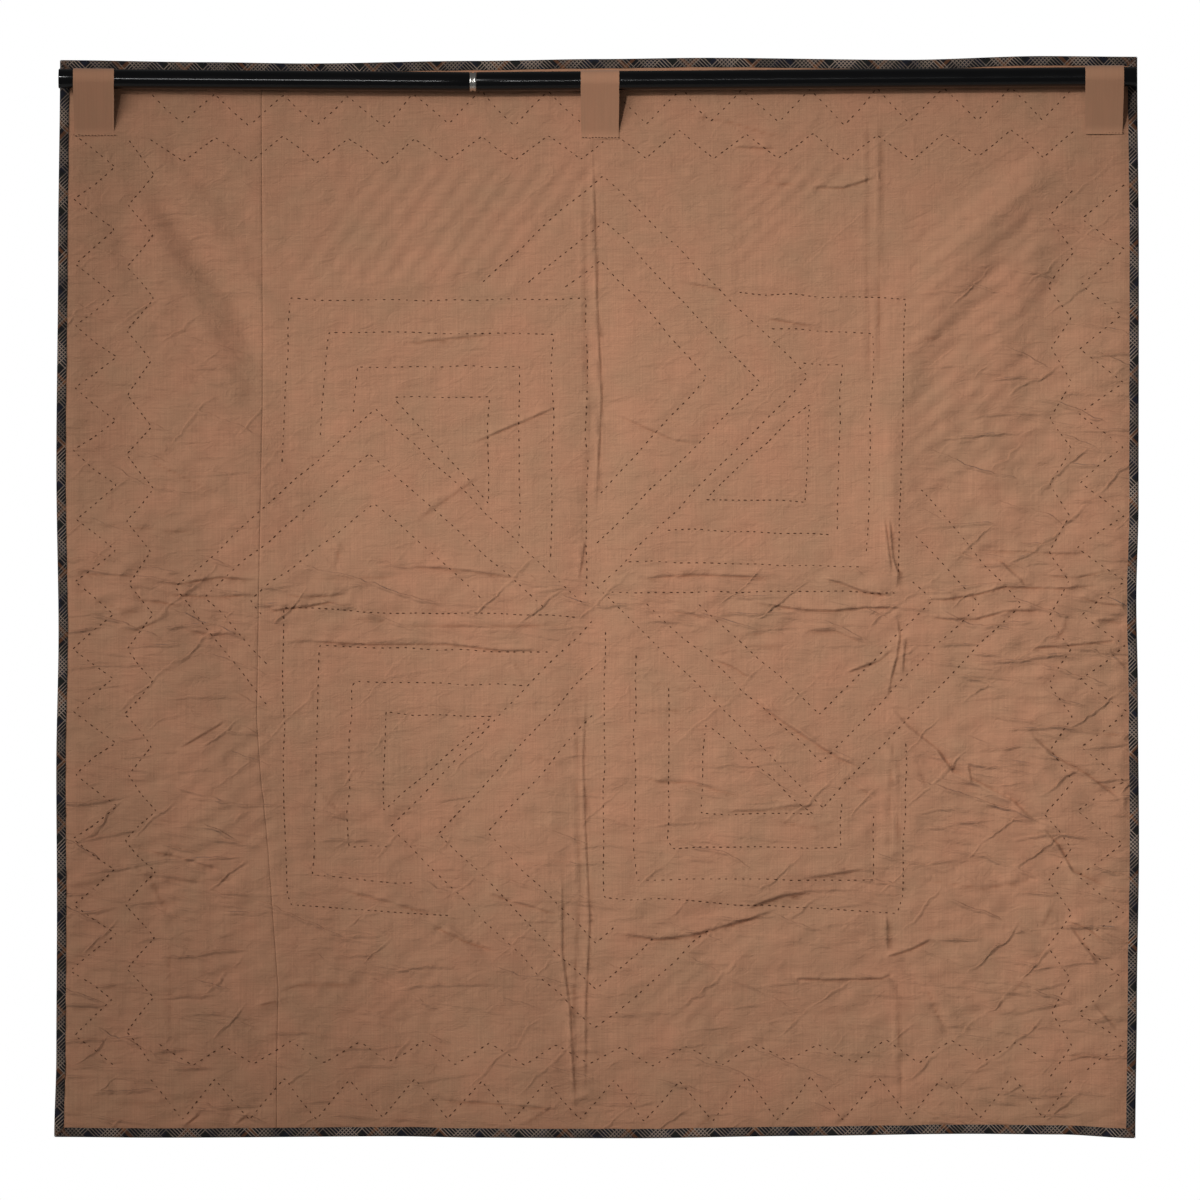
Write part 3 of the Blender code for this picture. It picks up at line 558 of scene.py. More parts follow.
def middle(x, z):
    """Y of the quilt's middle surface, with its folds."""
    x, z = np.asarray(x, float), np.asarray(z, float)
    folds = np.zeros(x.shape)
    for push, half_width, line in FOLDS + SMALL_FOLDS:
        away, place, length, _ = distance_to(np.array(line) * CM, x, z)
        fade = 1.0
        if half_width <= SHORT_FOLD:
            fade = eased_ends(place, length, 0.3 * length)
        folds += push * MM * fade * np.exp(-((away / (half_width * CM)) ** 2))
    fall = smooth(-z / HEIGHT)
    sway = HEM_SWAY * fall * np.sin(2 * math.pi * (x / SWAY_LENGTH + 0.1))
    unevenness = 3 * MM * rough(x, z, 0.20, 0.25, 2.7)
    return MIDDLE_DEPTH - smooth((STRAIGHT_TO - z) / FOLDS_EASE) * (folds + sway + unevenness)


def wobbled(line, draws):
    """A hand-drawn version of a line: its straight runs waver a little."""
    points = [np.array(line[0])]
    for start, end in zip(line, line[1:]):
        start, end = np.array(start), np.array(end)
        steps = max(1, round(float(np.hypot(*(end - start))) / HAND_STEP))
        for i in range(1, steps + 1):
            shift = [draws.gauss(0, HAND_WOBBLE), draws.gauss(0, HAND_WOBBLE)]
            points.append(start + (end - start) * i / steps + np.array(shift))
    return np.array(points)


def zigzag(side, odd, even, first, pitch, draws):
    """One row of zigzag quilting beside an edge, its turns as uneven as a hand makes them."""
    level = side in ("top", "hem")
    last = HALF_WIDTH - ZIGZAG_END if level else HEIGHT - TOP_EDGE - ZIGZAG_END
    place, turns = (first if level else -first), []
    while place < last:
        inset = even if len(turns) % 2 else odd
        turns.append((place + draws.gauss(0, TURN_WOBBLE), inset + draws.gauss(0, TURN_WOBBLE)))
        place += pitch / 2
    if level:
        return [(p, float(edge_at(side, np.array(p), inset))) for p, inset in turns]
    sign = -1 if side == "left" else 1
    return [(sign * (HALF_WIDTH - inset), -p) for p, inset in turns]


draws = random.Random(11)
QUILTING = [wobbled(np.array(line) * CM, draws) for line in ARROWS + SQUARES]
QUILTING += [wobbled(zigzag(*row, draws), draws) for row in ZIGZAGS]
HATCH_LINES = []
for first, last, count in HATCHING:
    for i in range(count):
        share = i / (count - 1)
        ends = np.array(first) * (1 - share) + np.array(last) * share
        HATCH_LINES.append(wobbled(ends * CM, draws))


def pressed(lines, x, z, depth, half_width, ripple):
    """How deep stitching presses into the cloth at flat points: a soft groove, deeper at each stitch."""
    deepest = np.zeros(x.shape)
    for line in lines:
        near = boxed(line, half_width, x, z)
        if near.any():
            away, place, length, _ = distance_to(line, x[near], z[near])
            closeness = np.clip(1 - away / half_width, 0, 1) ** 1.6
            stitch = 1 - ripple * np.cos(2 * math.pi * place / STITCH_PITCH)
            groove = depth * closeness * stitch * eased_ends(place, length, GROOVE_ENDS)
            deepest[near] = np.maximum(deepest[near], groove)
    return deepest


def near_creases(x, z, reach, ends):
    """Yields each crease that comes near flat points.

    It says which points, the crease's height (mm) and half-width, how far the points lie to the side
    away from TUCK_SIDE, and how it fades over a share of its length at both ends.
    """
    for height, half_width, line in CREASES:
        line = np.array(line) * CM
        near = boxed(line, reach * half_width * MM, x, z)
        if near.any():
            away, place, length, side = distance_to(line, x[near], z[near])
            run = line[-1] - line[0]
            if run[1] * TUCK_SIDE[0] < run[0] * TUCK_SIDE[1]:
                side = -side
            yield near, height, half_width * MM, side * away, eased_ends(place, length, ends * length)


def hump(place, centre, half_width):
    """A rounded rise to 1 at a centre."""
    return np.exp(-(((place - centre) / half_width) ** 2))


def creasing(x, z):
    """How far the creases push the cloth out at flat points: each is a small tuck, steep on one side."""
    push = np.zeros(x.shape)
    for near, height, half_width, across, fade in near_creases(x, z, 4.0, 0.2):
        fade = fade * (0.8 + 0.5 * rough(x[near], z[near], 0.02, 0.02, 5.0))
        tuck = sum(share * hump(across / half_width, centre, wide) for share, centre, wide in TUCK)
        push[near] += height * MM * fade * tuck
    return push


def wrinkled(x, z):
    """How wrinkled the cloth is at flat points, from 0 to 1: most along the fold line and at the sides."""
    band = hump(z + 0.03 * (x > 0.38), FOLD_LINE, 0.05)
    sides = np.where(x > 0, 0.85, 0.36) * smooth((np.abs(x) - 0.40) / 0.10) * smooth((-0.10 - z) / 0.3)
    low = 0.52 * smooth((-0.72 - z) / 0.3)
    return np.clip(0.16 + 0.9 * band + sides + low, 0, 1)


def crumple(x, z):
    """Fine wrinkles all over, sharper where the cloth was folded."""
    level = 1 - 3 * np.abs(rough(x + 0.1 * z, z - 0.15 * x, 0.075, 0.020, 9.0))
    tilted = 1 - 3 * np.abs(rough(x + 0.6 * z, z - 0.35 * x, 0.045, 0.028, 14.0))
    soft = rough(x, z, 0.022, 0.020, 21.0)
    amount = (LEAST_CRUMPLE + MORE_CRUMPLE * wrinkled(x, z)) * MM
    return amount * (0.5 * level + 0.4 * tilted) + 0.8 * MM * soft


def shown_face(x, z):
    """Y of the cloth that the viewer sees."""
    inset = inset_at(x, z)
    puff = (THICKNESS - EDGE_THICKNESS) / 2
    puff = puff - pressed(QUILTING, x, z, GROOVE_DEPTH, GROOVE_HALF_WIDTH, 0.25)
    hatch = pressed(HATCH_LINES, x, z, HATCH_DEPTH, HATCH_HALF_WIDTH, 0.3)
    puff = puff - hatch * (1 + 0.5 * rough(x, z, 0.012, 0.012, 31.0))
    puff = np.maximum(puff + creasing(x, z) + crumple(x, z), -HOLLOW_LIMIT)
    return middle(x, z) - EDGE_THICKNESS / 2 - puff * smooth((inset - BINDING_WIDTH) / EDGE_EASE)


def marked_near(lines, reach, square=3 * MM):
    """The small squares of the flat quilt that lie near some lines, as a set of column and row."""
    marked = set()
    span = math.ceil(reach / square)
    for line in lines:
        for (ax, az), (bx, bz) in zip(line, line[1:]):
            steps = max(1, round(math.hypot(bx - ax, bz - az) / square))
            for i in range(steps + 1):
                column = round((ax + (bx - ax) * i / steps) / square)
                row = round((az + (bz - az) * i / steps) / square)
                marked.update(
                    (column + dx, row + dz)
                    for dx in range(-span, span + 1) for dz in range(-span, span + 1)
                )
    return marked, square


def refine(bm, marks):
    """Splits the faces that lie on marked squares into four."""
    marked, square = marks
    edges = set()
    for face in bm.faces:
        centre = face.calc_center_median()
        if (round(centre.x / square), round(centre.z / square)) in marked:
            edges.update(e for e in face.edges if not e.is_boundary)
    bmesh.ops.subdivide_edges(bm, edges=list(edges), cuts=1, use_grid_fill=True)


def flat_grid(bm, left, right, columns, rows, layer):
    """A grid over the flat quilt between two upright edges. Its y only says which layer it is."""
    made = bmesh.ops.create_grid(bm, x_segments=columns, y_segments=rows, size=0.5)
    verts = made["verts"]
    places = np.array([v.co[:2] for v in verts]) + 0.5
    z = TOP_EDGE - HEIGHT + HEIGHT * places[:, 1]
    x = left(z) + (right(z) - left(z)) * places[:, 0]
    low, high = edge_at("hem", x, CLOTH_EDGE), edge_at("top", x, CLOTH_EDGE)
    z = low + (high - low) * places[:, 1]
    for vertex, across, up in zip(verts, x, z):
        vertex.co = (across, layer, up)


RIM_ROWS = (1.6 * MM, 1.2 * MM)  # two narrow rows of faces let the edge round over


def cloth_slab(name, left, right, columns, rows, marks, coarser, front, back, material):
    """A closed slab of cloth: a fine face that shows, one within that is coarser (1 or 2), and a wall."""
    bm = bmesh.new()
    flat_grid(bm, left, right, columns, rows, 0.0)
    for marked in marks:
        refine(bm, marked)
    for width in RIM_ROWS:
        bmesh.ops.inset_region(
            bm, faces=list(bm.faces), thickness=width, use_boundary=True, use_even_offset=True,
        )
    rim = [e for e in bm.edges if e.is_boundary]
    known = set(bm.edges)
    flat_grid(bm, left, right, columns // coarser, rows // coarser, 1.0)
    inner = [e for e in bm.edges if e not in known and e.is_boundary]
    if coarser > 1:
        bmesh.ops.subdivide_edges(bm, edges=inner, cuts=coarser - 1)
    inner = [e for e in bm.edges if e.is_boundary and all(v.co.y > 0.5 for v in e.verts)]
    bmesh.ops.bridge_loops(bm, edges=rim + inner)
    piece = finished(bm, name, material, 50)
    mesh = piece.data
    points = np.zeros(len(mesh.vertices) * 3)
    mesh.vertices.foreach_get("co", points)
    points = points.reshape(-1, 3)
    within = points[:, 1] > 0.5
    x, z = points[:, 0], points[:, 2]
    points[~within, 1] = front(x[~within], z[~within])
    points[within, 1] = back(x[within], z[within])
    mesh.vertices.foreach_set("co", points.ravel())
    mesh.update()
    bm = bmesh.new()
    bm.from_mesh(mesh)
    bmesh.ops.recalc_face_normals(bm, faces=bm.faces)
    bm.to_mesh(mesh)
    bm.free()
    return piece


def painted_crease_shade(x, z):
    """How much painted shade flat points get in the bottom of a crease, and faintly beside it, from 0 to 1.
    """
    shade = np.zeros(x.shape)
    for near, height, half_width, across, fade in near_creases(x, z, 2.0, 0.25):
        fade = fade * np.clip(0.75 + 0.9 * rough(x[near], z[near], 0.018, 0.018, 6.0), 0, 1)
        bottom = hump(across, 0.30 * half_width, 0.9 * MM)
        beside = 0.16 * hump(across, 0.8 * half_width, 0.9 * half_width)
        depth = min(1.0, height / DARKEST_CREASE)
        shade[near] = np.maximum(shade[near], depth * fade * (bottom + beside))
    return np.clip(shade, 0, 1)


# Plain-weave cotton, dyed brown and long worn: no gloss but a faint bloom of fibres, thicker threads
# that run up and down, and a shade that drifts between redder and greener where the dye has faded.
# Thin wrinkles run across it where it was folded, each a sharp pinch over a line of painted shade.
WORN_BROWN, RED_BROWN = linear("#a2795d"), linear("#ab7a5e")
brown_cotton, tree = new_material("plain_weave_brown_cotton")
place = add_node(tree, "TexCoord").outputs["Object"]
drift = add_node(tree, "TexNoise", {"Vector": place, "Scale": 16.0, "Detail": 3.0, "Roughness": 0.55})
drift_ramp = add_node(tree, "MapRange", {0: drift, 1: 0.30, 2: 0.70})
faded = add_node(tree, "Mix", {0: drift_ramp, 6: WORN_BROWN, 7: RED_BROWN}, data_type="RGBA")
warp_place = add_node(tree, "Mapping", {"Vector": place, "Scale": (700.0, 1.0, 14.0)})
warp = add_node(tree, "TexNoise", {"Vector": warp_place, "Scale": 1.0, "Detail": 2.0})
weft_place = add_node(tree, "Mapping", {"Vector": place, "Scale": (22.0, 1.0, 800.0)})
weft = add_node(tree, "TexNoise", {"Vector": weft_place, "Scale": 1.0, "Detail": 2.0})
threads = add_node(tree, "Math", {0: warp, 1: weft}, operation="ADD")
thread_shade = add_node(tree, "MapRange", {0: threads, 1: 0.7, 2: 1.3, 3: 0.90, 4: 1.09})
woven = add_node(tree, "VectorMath", {0: faded, "Scale": thread_shade}, operation="SCALE")
# painted shade in the bottoms of the creases, stamped on each point of the backing
crease_shade = add_node(tree, "Attribute", attribute_name="crease_shade").outputs["Fac"]
wrinkling = add_node(tree, "Attribute", attribute_name="wrinkling").outputs["Fac"]


def fill_ramp(ramp, interpolation, stops):
    """Gives a colour ramp its stops, each a place and a colour."""
    ramp.color_ramp.interpolation = interpolation
    for i, (place, colour) in enumerate(stops):
        stop = ramp.color_ramp.elements[i] if i < 2 else ramp.color_ramp.elements.new(place)
        stop.position, stop.color = place, colour


PINCH = 1.6 * MM  # about how wide a thin wrinkle is


def thin_wrinkles(tilt, apart, bend, seed):
    """Broken, slightly bent pinches that run one way: their height, and the painted shade under them."""
    turned = add_node(
        tree, "Mapping",
        {"Vector": place, "Location": (seed, 0, seed), "Rotation": (0, math.radians(tilt), 0)},
    )
    across = add_node(tree, "SeparateXYZ", {0: turned}).outputs[2]
    wide = add_node(tree, "TexNoise", {"Vector": turned, "Scale": 4.5, "Detail": 1.0})
    small = add_node(tree, "TexNoise", {"Vector": turned, "Scale": 30.0, "Detail": 2.0})
    swing = add_node(tree, "Math", {0: wide, 1: bend}, operation="MULTIPLY")
    swing = add_node(tree, "Math", {0: small, 1: 0.42, 2: swing}, operation="MULTIPLY_ADD")
    phase = add_node(tree, "Math", {0: across, 1: 1 / apart, 2: swing}, operation="MULTIPLY_ADD")
    phase = add_node(tree, "Math", {0: phase}, operation="FRACT")
    long_place = add_node(tree, "Mapping", {"Vector": turned, "Scale": (9.0, 1.0, 34.0)})
    broken = add_node(tree, "TexNoise", {"Vector": long_place, "Scale": 1.0, "Detail": 1.0})
    here = add_node(tree, "MapRange", {0: broken, 1: 0.50, 2: 0.66}, interpolation_type="SMOOTHSTEP")
    here = add_node(tree, "Math", {0: here, 1: wrinkling}, operation="MULTIPLY")
    made = []
    sharp = PINCH / apart
    # the first ramp is a pinch's height, the second the painted shade under it
    for stops in (
        ((0.5 - 3.2 * sharp, 0), (0.5, 1), (0.5 + 1.2 * sharp, 0)),
        ((0.5, 0), (0.5 + 0.6 * sharp, 1), (0.5 + 1.4 * sharp, 0)),
    ):
        ramp = add_node(tree, "ValToRGB", {0: phase})
        fill_ramp(ramp, "EASE", [(stop, (height, height, height, 1.0)) for stop, height in stops])
        made.append(add_node(tree, "Math", {0: ramp, 1: here}, operation="MULTIPLY"))
    return made


# the four ways they run: tilt (degrees), how far apart, how bent, which noise
WRINKLE_RUNS = [
    (3, 24 * MM, 1.6, 0.0), (-19, 37 * MM, 1.4, 3.0), (41, 52 * MM, 1.2, 7.0), (-8, 13 * MM, 1.9, 11.0),
]
FINE_SHARES = (0.6, 0.5)  # how much the last and finest of them adds to the heights and to the painted shade
merged = []
runs = [thin_wrinkles(*run) for run in WRINKLE_RUNS]
for (level, slant, steep, fine), share in zip(zip(*runs), FINE_SHARES):
    most = add_node(tree, "Math", {0: level, 1: slant}, operation="MAXIMUM")
    most = add_node(tree, "Math", {0: most, 1: steep}, operation="MAXIMUM")
    merged.append(add_node(tree, "Math", {0: fine, 1: share, 2: most}, operation="MULTIPLY_ADD"))
heights, painted_shade = merged
painted_shade = add_node(tree, "Math", {0: painted_shade, 1: 0.5}, operation="MULTIPLY")
painted_shade = add_node(tree, "Math", {0: painted_shade, 1: crease_shade}, operation="MAXIMUM", use_clamp=True)
# Painted shade: the lines under the pinches and the crease bottoms get a darker brown
painted_shade_colour = add_node(
    tree, "Mix", {0: 1.0, 6: woven, 7: linear("#e0cfc4")}, data_type="RGBA", blend_type="MULTIPLY",
)
cloth_colour = add_node(tree, "Mix", {0: painted_shade, 6: woven, 7: painted_shade_colour}, data_type="RGBA")
pucker_place = add_node(tree, "Mapping", {"Vector": place, "Scale": (38.0, 1.0, 70.0)})
pucker = add_node(
    tree, "TexNoise",
    {"Vector": pucker_place, "Scale": 1.0, "Detail": 6.0, "Roughness": 0.63, "Distortion": 0.8},
)
pinch_bump = add_node(tree, "Bump", {"Height": heights, "Strength": 1.0, "Distance": 1.9 * MM})
pucker_bump = add_node(
    tree, "Bump", {"Height": pucker, "Strength": 1.0, "Distance": 2.4 * MM, "Normal": pinch_bump},
)
bumps = add_node(
    tree, "Bump", {"Height": threads, "Strength": 0.25, "Distance": 0.4 * MM, "Normal": pucker_bump},
)
cotton = add_node(
    tree, "BsdfPrincipled",
    {
        "Base Color": cloth_colour, "Roughness": 0.9, "Normal": bumps,
        "Specular IOR Level": 0.25, "Sheen Weight": 0.12, "Sheen Roughness": 0.5,
    },
)
add_node(tree, "OutputMaterial", {"Surface": cotton})

# The seam between the two widths: cm across at cm up
SEAM = [
    (-43.7, 2.4), (-43.7, -1.5), (-43.6, -28.8), (-43.6, -41.8), (-43.9, -58.3), (-44.1, -71.7),
    (-44.3, -83.3), (-43.7, -91.6), (-43.4, -93.8), (-42.8, -100.4), (-42.1, -110.4), (-41.5, -118.6),
    (-41.7, -127.0), (-41.7, -138.0),
]
SEAM_GAP = 0.2 * MM
SEAM_TURN = 2.0 * MM  # how wide the cloth rounds over into the seam
SEAM_DEPTH = 0.8 * MM
WADDING_GAP = 0.3 * MM  # from the quilt's middle surface back to the backing's unseen face


def seam_at(z):
    """Where the seam lies at some heights."""
    turned = SEAM[::-1]
    return np.interp(z, [row[1] * CM for row in turned], [row[0] * CM for row in turned])


def backing_face(x, z):
    """The shown face of the backing, turned in where its two widths meet."""
    beside = np.abs(x - seam_at(z))
    turn = np.clip(1 - beside / SEAM_TURN, 0, 1) ** 2
    return shown_face(x, z) + SEAM_DEPTH * turn


def backing_within(x, z):
    """The unseen face of the backing with its wadding, behind the shown one."""
    return middle(x, z) + WADDING_GAP


def stamp(piece, name, values):
    """Writes a number on each point of a piece."""
    marks = piece.data.attributes.new(name, "FLOAT", "POINT")
    marks.data.foreach_set("value", np.asarray(values, np.float32))


def left_edge(z):
    """Where the cloth ends at the left, at some heights."""
    return edge_at("left", z, CLOTH_EDGE)


def right_edge(z):
    """Where the cloth ends at the right, at some heights."""
    return edge_at("right", z, CLOTH_EDGE)


# the cloth is finer where it is creased, and finer still where deeply
DEEP_CREASE = 1.4
all_creases = [np.array(line) * CM for _, _, line in CREASES]
deep_creases = [np.array(line) * CM for height, _, line in CREASES if height >= DEEP_CREASE]
marks = [
    marked_near(all_creases, 3.2 * MM, 1.6 * MM),
    marked_near(deep_creases, 2.0 * MM, 1.0 * MM),
]
BACKING_ROWS = 220
# name, left edge, right edge, columns, width of the cloth
widths = [
    ("backing_narrow", left_edge, lambda z: seam_at(z) - SEAM_GAP / 2, 40, 0.265),
    ("backing_wide", lambda z: seam_at(z) + SEAM_GAP / 2, right_edge, 174, 1.14),
]
for name, left, right, columns, width in widths:
    piece = cloth_slab(
        name, left, right, columns, BACKING_ROWS, marks, 2, backing_face, backing_within, brown_cotton,
    )
    points = np.array([vertex.co for vertex in piece.data.vertices])
    # the painted shade of the crease bottoms, then how wrinkled the cloth is
    stamp(piece, "crease_shade", painted_crease_shade(points[:, 0], points[:, 2]))
    stamp(piece, "wrinkling", wrinkled(points[:, 0], points[:, 2]))
    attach(piece, "root")
    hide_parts("quilt")

# ---------------------------------------------------------------------------------------------
# The quilting stitches
# A running stitch in strong dark brown cotton thread, about three to the inch, through all the
# layers: a short bead of thread shows where the needle came up.

STITCH_PITCHES = (8.2, 10.8)  # how far apart (mm) the stitches are, from line to line
STITCH_LENGTH = 4.2 * MM
STITCH_WANDER = 0.6 * MM  # how unevenly the stitches follow each other
THREAD = 1.5 * MM
THREAD_RISE = 0.35 * MM  # how far the beads stand out of the cloth

# Mercerised cotton thread, twisted: dark brown, slightly shiny, its twist too fine to see.
dark_thread, tree = new_material("twisted_dark_cotton_thread")
place = add_node(tree, "TexCoord").outputs["Object"]
twist = add_node(tree, "TexNoise", {"Vector": place, "Scale": 900.0, "Detail": 2.0})
dye = add_node(tree, "Mix", {0: twist, 6: linear("#331a0f"), 7: linear("#573523")}, data_type="RGBA")
thread = add_node(tree, "BsdfPrincipled", {"Base Color": dye, "Roughness": 0.75, "Specular IOR Level": 0.15})
add_node(tree, "OutputMaterial", {"Surface": thread})


def stitches_along(lines, draws):
    """Where the stitches of some lines lie: the flat points of both their ends."""
    ends = []
    for line in lines:
        pitch = draws.uniform(*STITCH_PITCHES) * MM
        steps = np.hypot(*np.diff(line, axis=0).T)
        passed = np.concatenate([[0], np.cumsum(steps)])
        count = int(passed[-1] / pitch)
        for i in range(count):
            at = (i + 0.5) * pitch + draws.gauss(0, STITCH_WANDER)
            half = STITCH_LENGTH / 2 * draws.uniform(0.75, 1.2)
            pair = [[np.interp(at + side * half, passed, line[:, k]) for k in (0, 1)] for side in (-1, 1)]
            ends.append(pair)
    return np.array(ends)


def sew(name, ends, face, material, thickness):
    """Beads of thread on a cloth's face, one for each pair of ends."""
    bm = bmesh.new()
    bmesh.ops.create_uvsphere(bm, u_segments=6, v_segments=3, radius=1.0)
    bead = np.array([v.co for v in bm.verts])
    verts = bm.verts[:]
    while len(verts) < len(ends) * len(bead):
        copies = bmesh.ops.duplicate(bm, geom=bm.verts[:] + bm.edges[:] + bm.faces[:])["vert_map"]
        verts += [copies[vertex] for vertex in verts]
    bmesh.ops.delete(bm, geom=verts[len(ends) * len(bead):], context="VERTS")
    depth = face(ends[:, :, 0].ravel(), ends[:, :, 1].ravel()).reshape(-1, 2) - THREAD_RISE
    tips = np.stack([ends[:, :, 0], depth, ends[:, :, 1]], axis=2)
    run = tips[:, 1] - tips[:, 0]
    length = np.linalg.norm(run, axis=1, keepdims=True)
    along = run / length
    out = np.cross(along, (0.0, 0.0, 1.0)) + 1e-6
    out /= np.linalg.norm(out, axis=1, keepdims=True)
    third = np.cross(along, out)
    axes = np.stack([out * thickness / 2, third * thickness / 2, run / 2], axis=1)
    places = tips.mean(1)[:, None] + np.einsum("vk,skc->svc", bead, axes)
    for vertex, place in zip(verts, places.reshape(-1, 3)):
        vertex.co = place
    bmesh.ops.recalc_face_normals(bm, faces=bm.faces)
    return finished(bm, name, material, 180)


piece = sew("quilting_stitches", stitches_along(QUILTING, draws), backing_face, dark_thread, THREAD)
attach(piece, "root")

# ---------------------------------------------------------------------------------------------
# The patchwork
# The quilt's other side, pieced from plain cottons: a pinwheel of four halved squares in a wide
# border, and an outer border of points. It hangs away from the viewer.

CENTRE = (0.0, TOP_EDGE - HEIGHT / 2)
FIELD_HALF = 0.400
BORDER_HALF = 0.575
POINT_HEIGHT = 0.115
PATCH_ROWS = 160
LEAST_PUFF = 0.5 * MM
PATCH_GAP = 0.7 * MM  # from the quilt's middle surface back to the patchwork's unseen face, at the edge
PATCH_RISE = 0.8 * MM  # how much further back that face lies away from the edge


def patch_face(x, z):
    """Y of the patchwork's shown face, quilted along the same lines."""
    inset = inset_at(x, z)
    puff = (THICKNESS - EDGE_THICKNESS) / 2
    puff = puff - pressed(QUILTING, x, z, GROOVE_DEPTH, GROOVE_HALF_WIDTH, 0.25)
    puff = puff - pressed(HATCH_LINES, x, z, HATCH_DEPTH, HATCH_HALF_WIDTH, 0.3)
    puff = np.maximum(puff + 0.6 * crumple(x, z), LEAST_PUFF)
    return middle(x, z) + EDGE_THICKNESS / 2 + puff * smooth((inset - BINDING_WIDTH) / EDGE_EASE)


def patch_within(x, z):
    """The unseen face of the patchwork, just behind the wadding."""
    return middle(x, z) + PATCH_GAP + PATCH_RISE * smooth((inset_at(x, z) - BINDING_WIDTH) / EDGE_EASE)


# Plain-weave cottons sewn edge to edge: navy, rust, cream and brown, each a little faded and all
# without gloss. The patches are laid out from the quilt's centre.
patch_cottons, tree = new_material("pieced_plain_cottons")
place = add_node(tree, "TexCoord").outputs["Object"]
centred = add_node(tree, "Mapping", {"Vector": place, "Location": (-CENTRE[0], 0, -CENTRE[1])})
spot = add_node(tree, "SeparateXYZ", {0: centred})
right, up = spot.outputs[0], spot.outputs[2]
across = add_node(tree, "Math", {0: right}, operation="ABSOLUTE")
above = add_node(tree, "Math", {0: up}, operation="ABSOLUTE")
far = add_node(tree, "Math", {0: across, 1: above}, operation="MAXIMUM")
near = add_node(tree, "Math", {0: across, 1: above}, operation="MINIMUM")

# the pinwheel: a half of each square is navy, turned by a quarter from square to square
quarter = add_node(tree, "Math", {0: right, 1: up}, operation="MULTIPLY")
steeper = add_node(tree, "Math", {0: above, 1: across}, operation="SUBTRACT")
blade = add_node(tree, "Math", {0: quarter, 1: steeper}, operation="MULTIPLY")
blade = add_node(tree, "Math", {0: blade, 1: 0.0}, operation="LESS_THAN")
# the outer points: navy ones that stand on the wide border, with plain corners
upright = add_node(tree, "Math", {0: steeper, 1: 0.0}, operation="GREATER_THAN")
along = add_node(tree, "Mix", {0: upright, 2: up, 3: right}, data_type="FLOAT")
along = add_node(tree, "Math", {0: along, 1: ZIGZAG_PITCH / 2}, operation="PINGPONG")
slope = POINT_HEIGHT / (ZIGZAG_PITCH / 2)
reach = add_node(tree, "Math", {0: along, 1: slope, 2: BORDER_HALF}, operation="MULTIPLY_ADD")
point = add_node(tree, "Math", {0: far, 1: reach}, operation="LESS_THAN")
beside = add_node(tree, "Math", {0: near, 1: BORDER_HALF}, operation="LESS_THAN")
point = add_node(tree, "Math", {0: point, 1: beside}, operation="MULTIPLY")
in_field = add_node(tree, "Math", {0: far, 1: FIELD_HALF}, operation="LESS_THAN")
in_border = add_node(tree, "Math", {0: far, 1: BORDER_HALF}, operation="LESS_THAN")
at_corner = add_node(tree, "Math", {0: near, 1: FIELD_HALF}, operation="GREATER_THAN")
navy, rust, cream, brown = (linear(colour) for colour in ("#323d54", "#97572f", "#cfc0a3", "#6f523d"))
blades = add_node(tree, "Mix", {0: blade, 6: cream, 7: navy}, data_type="RGBA")
points = add_node(tree, "Mix", {0: point, 6: cream, 7: navy}, data_type="RGBA")
border = add_node(tree, "Mix", {0: at_corner, 6: brown, 7: rust}, data_type="RGBA")
pieced = add_node(tree, "Mix", {0: in_border, 6: points, 7: border}, data_type="RGBA")
pieced = add_node(tree, "Mix", {0: in_field, 6: pieced, 7: blades}, data_type="RGBA")
drift = add_node(tree, "TexNoise", {"Vector": place, "Scale": 20.0, "Detail": 4.0})
weave_place = add_node(tree, "Mapping", {"Vector": place, "Scale": (600.0, 1.0, 30.0)})
weave = add_node(tree, "TexNoise", {"Vector": weave_place, "Scale": 1.0, "Detail": 3.0})
wear = add_node(tree, "Math", {0: weave, 1: drift}, operation="ADD")
shade = add_node(tree, "MapRange", {0: wear, 1: 0.7, 2: 1.3, 3: 0.85, 4: 1.15})
woven = add_node(tree, "VectorMath", {0: pieced, "Scale": shade}, operation="SCALE")
bumps = add_node(tree, "Bump", {"Height": weave, "Strength": 0.3, "Distance": 0.4 * MM})
cotton = add_node(
    tree, "BsdfPrincipled",
    {
        "Base Color": woven, "Roughness": 0.9, "Normal": bumps,
        "Specular IOR Level": 0.25, "Sheen Weight": 0.12,
    },
)
add_node(tree, "OutputMaterial", {"Surface": cotton})

piece = cloth_slab(
    "patchwork", left_edge, right_edge, PATCH_ROWS, PATCH_ROWS,
    [marked_near(QUILTING, 3 * MM)], 1, patch_face, patch_within, patch_cottons,
)
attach(piece, "root")
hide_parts("quilt")

# ---------------------------------------------------------------------------------------------
# The binding
# Four narrow strips of woven plaid, cut on the bias, folded over the quilt's edge and hemmed down
# on both sides. They meet in slanting corners.

BINDING_STEPS = 300
HEM_WAVER = 0.6 * MM  # how unevenly the strip is hemmed down
SHORT_SWELL, LONG_SWELL = 0.12, 0.10  # how unevenly thick it is, as shares
BINDING_SIDES = [  # side, ends as signs across and up, the CAD node
    ("top", (1, 1), (-1, 1), "binding_top"),
    ("left", (-1, 1), (-1, -1), "binding_left"),
    ("hem", (-1, -1), (1, -1), "binding_bottom"),
    ("right", (1, -1), (1, 1), "binding_right"),
]

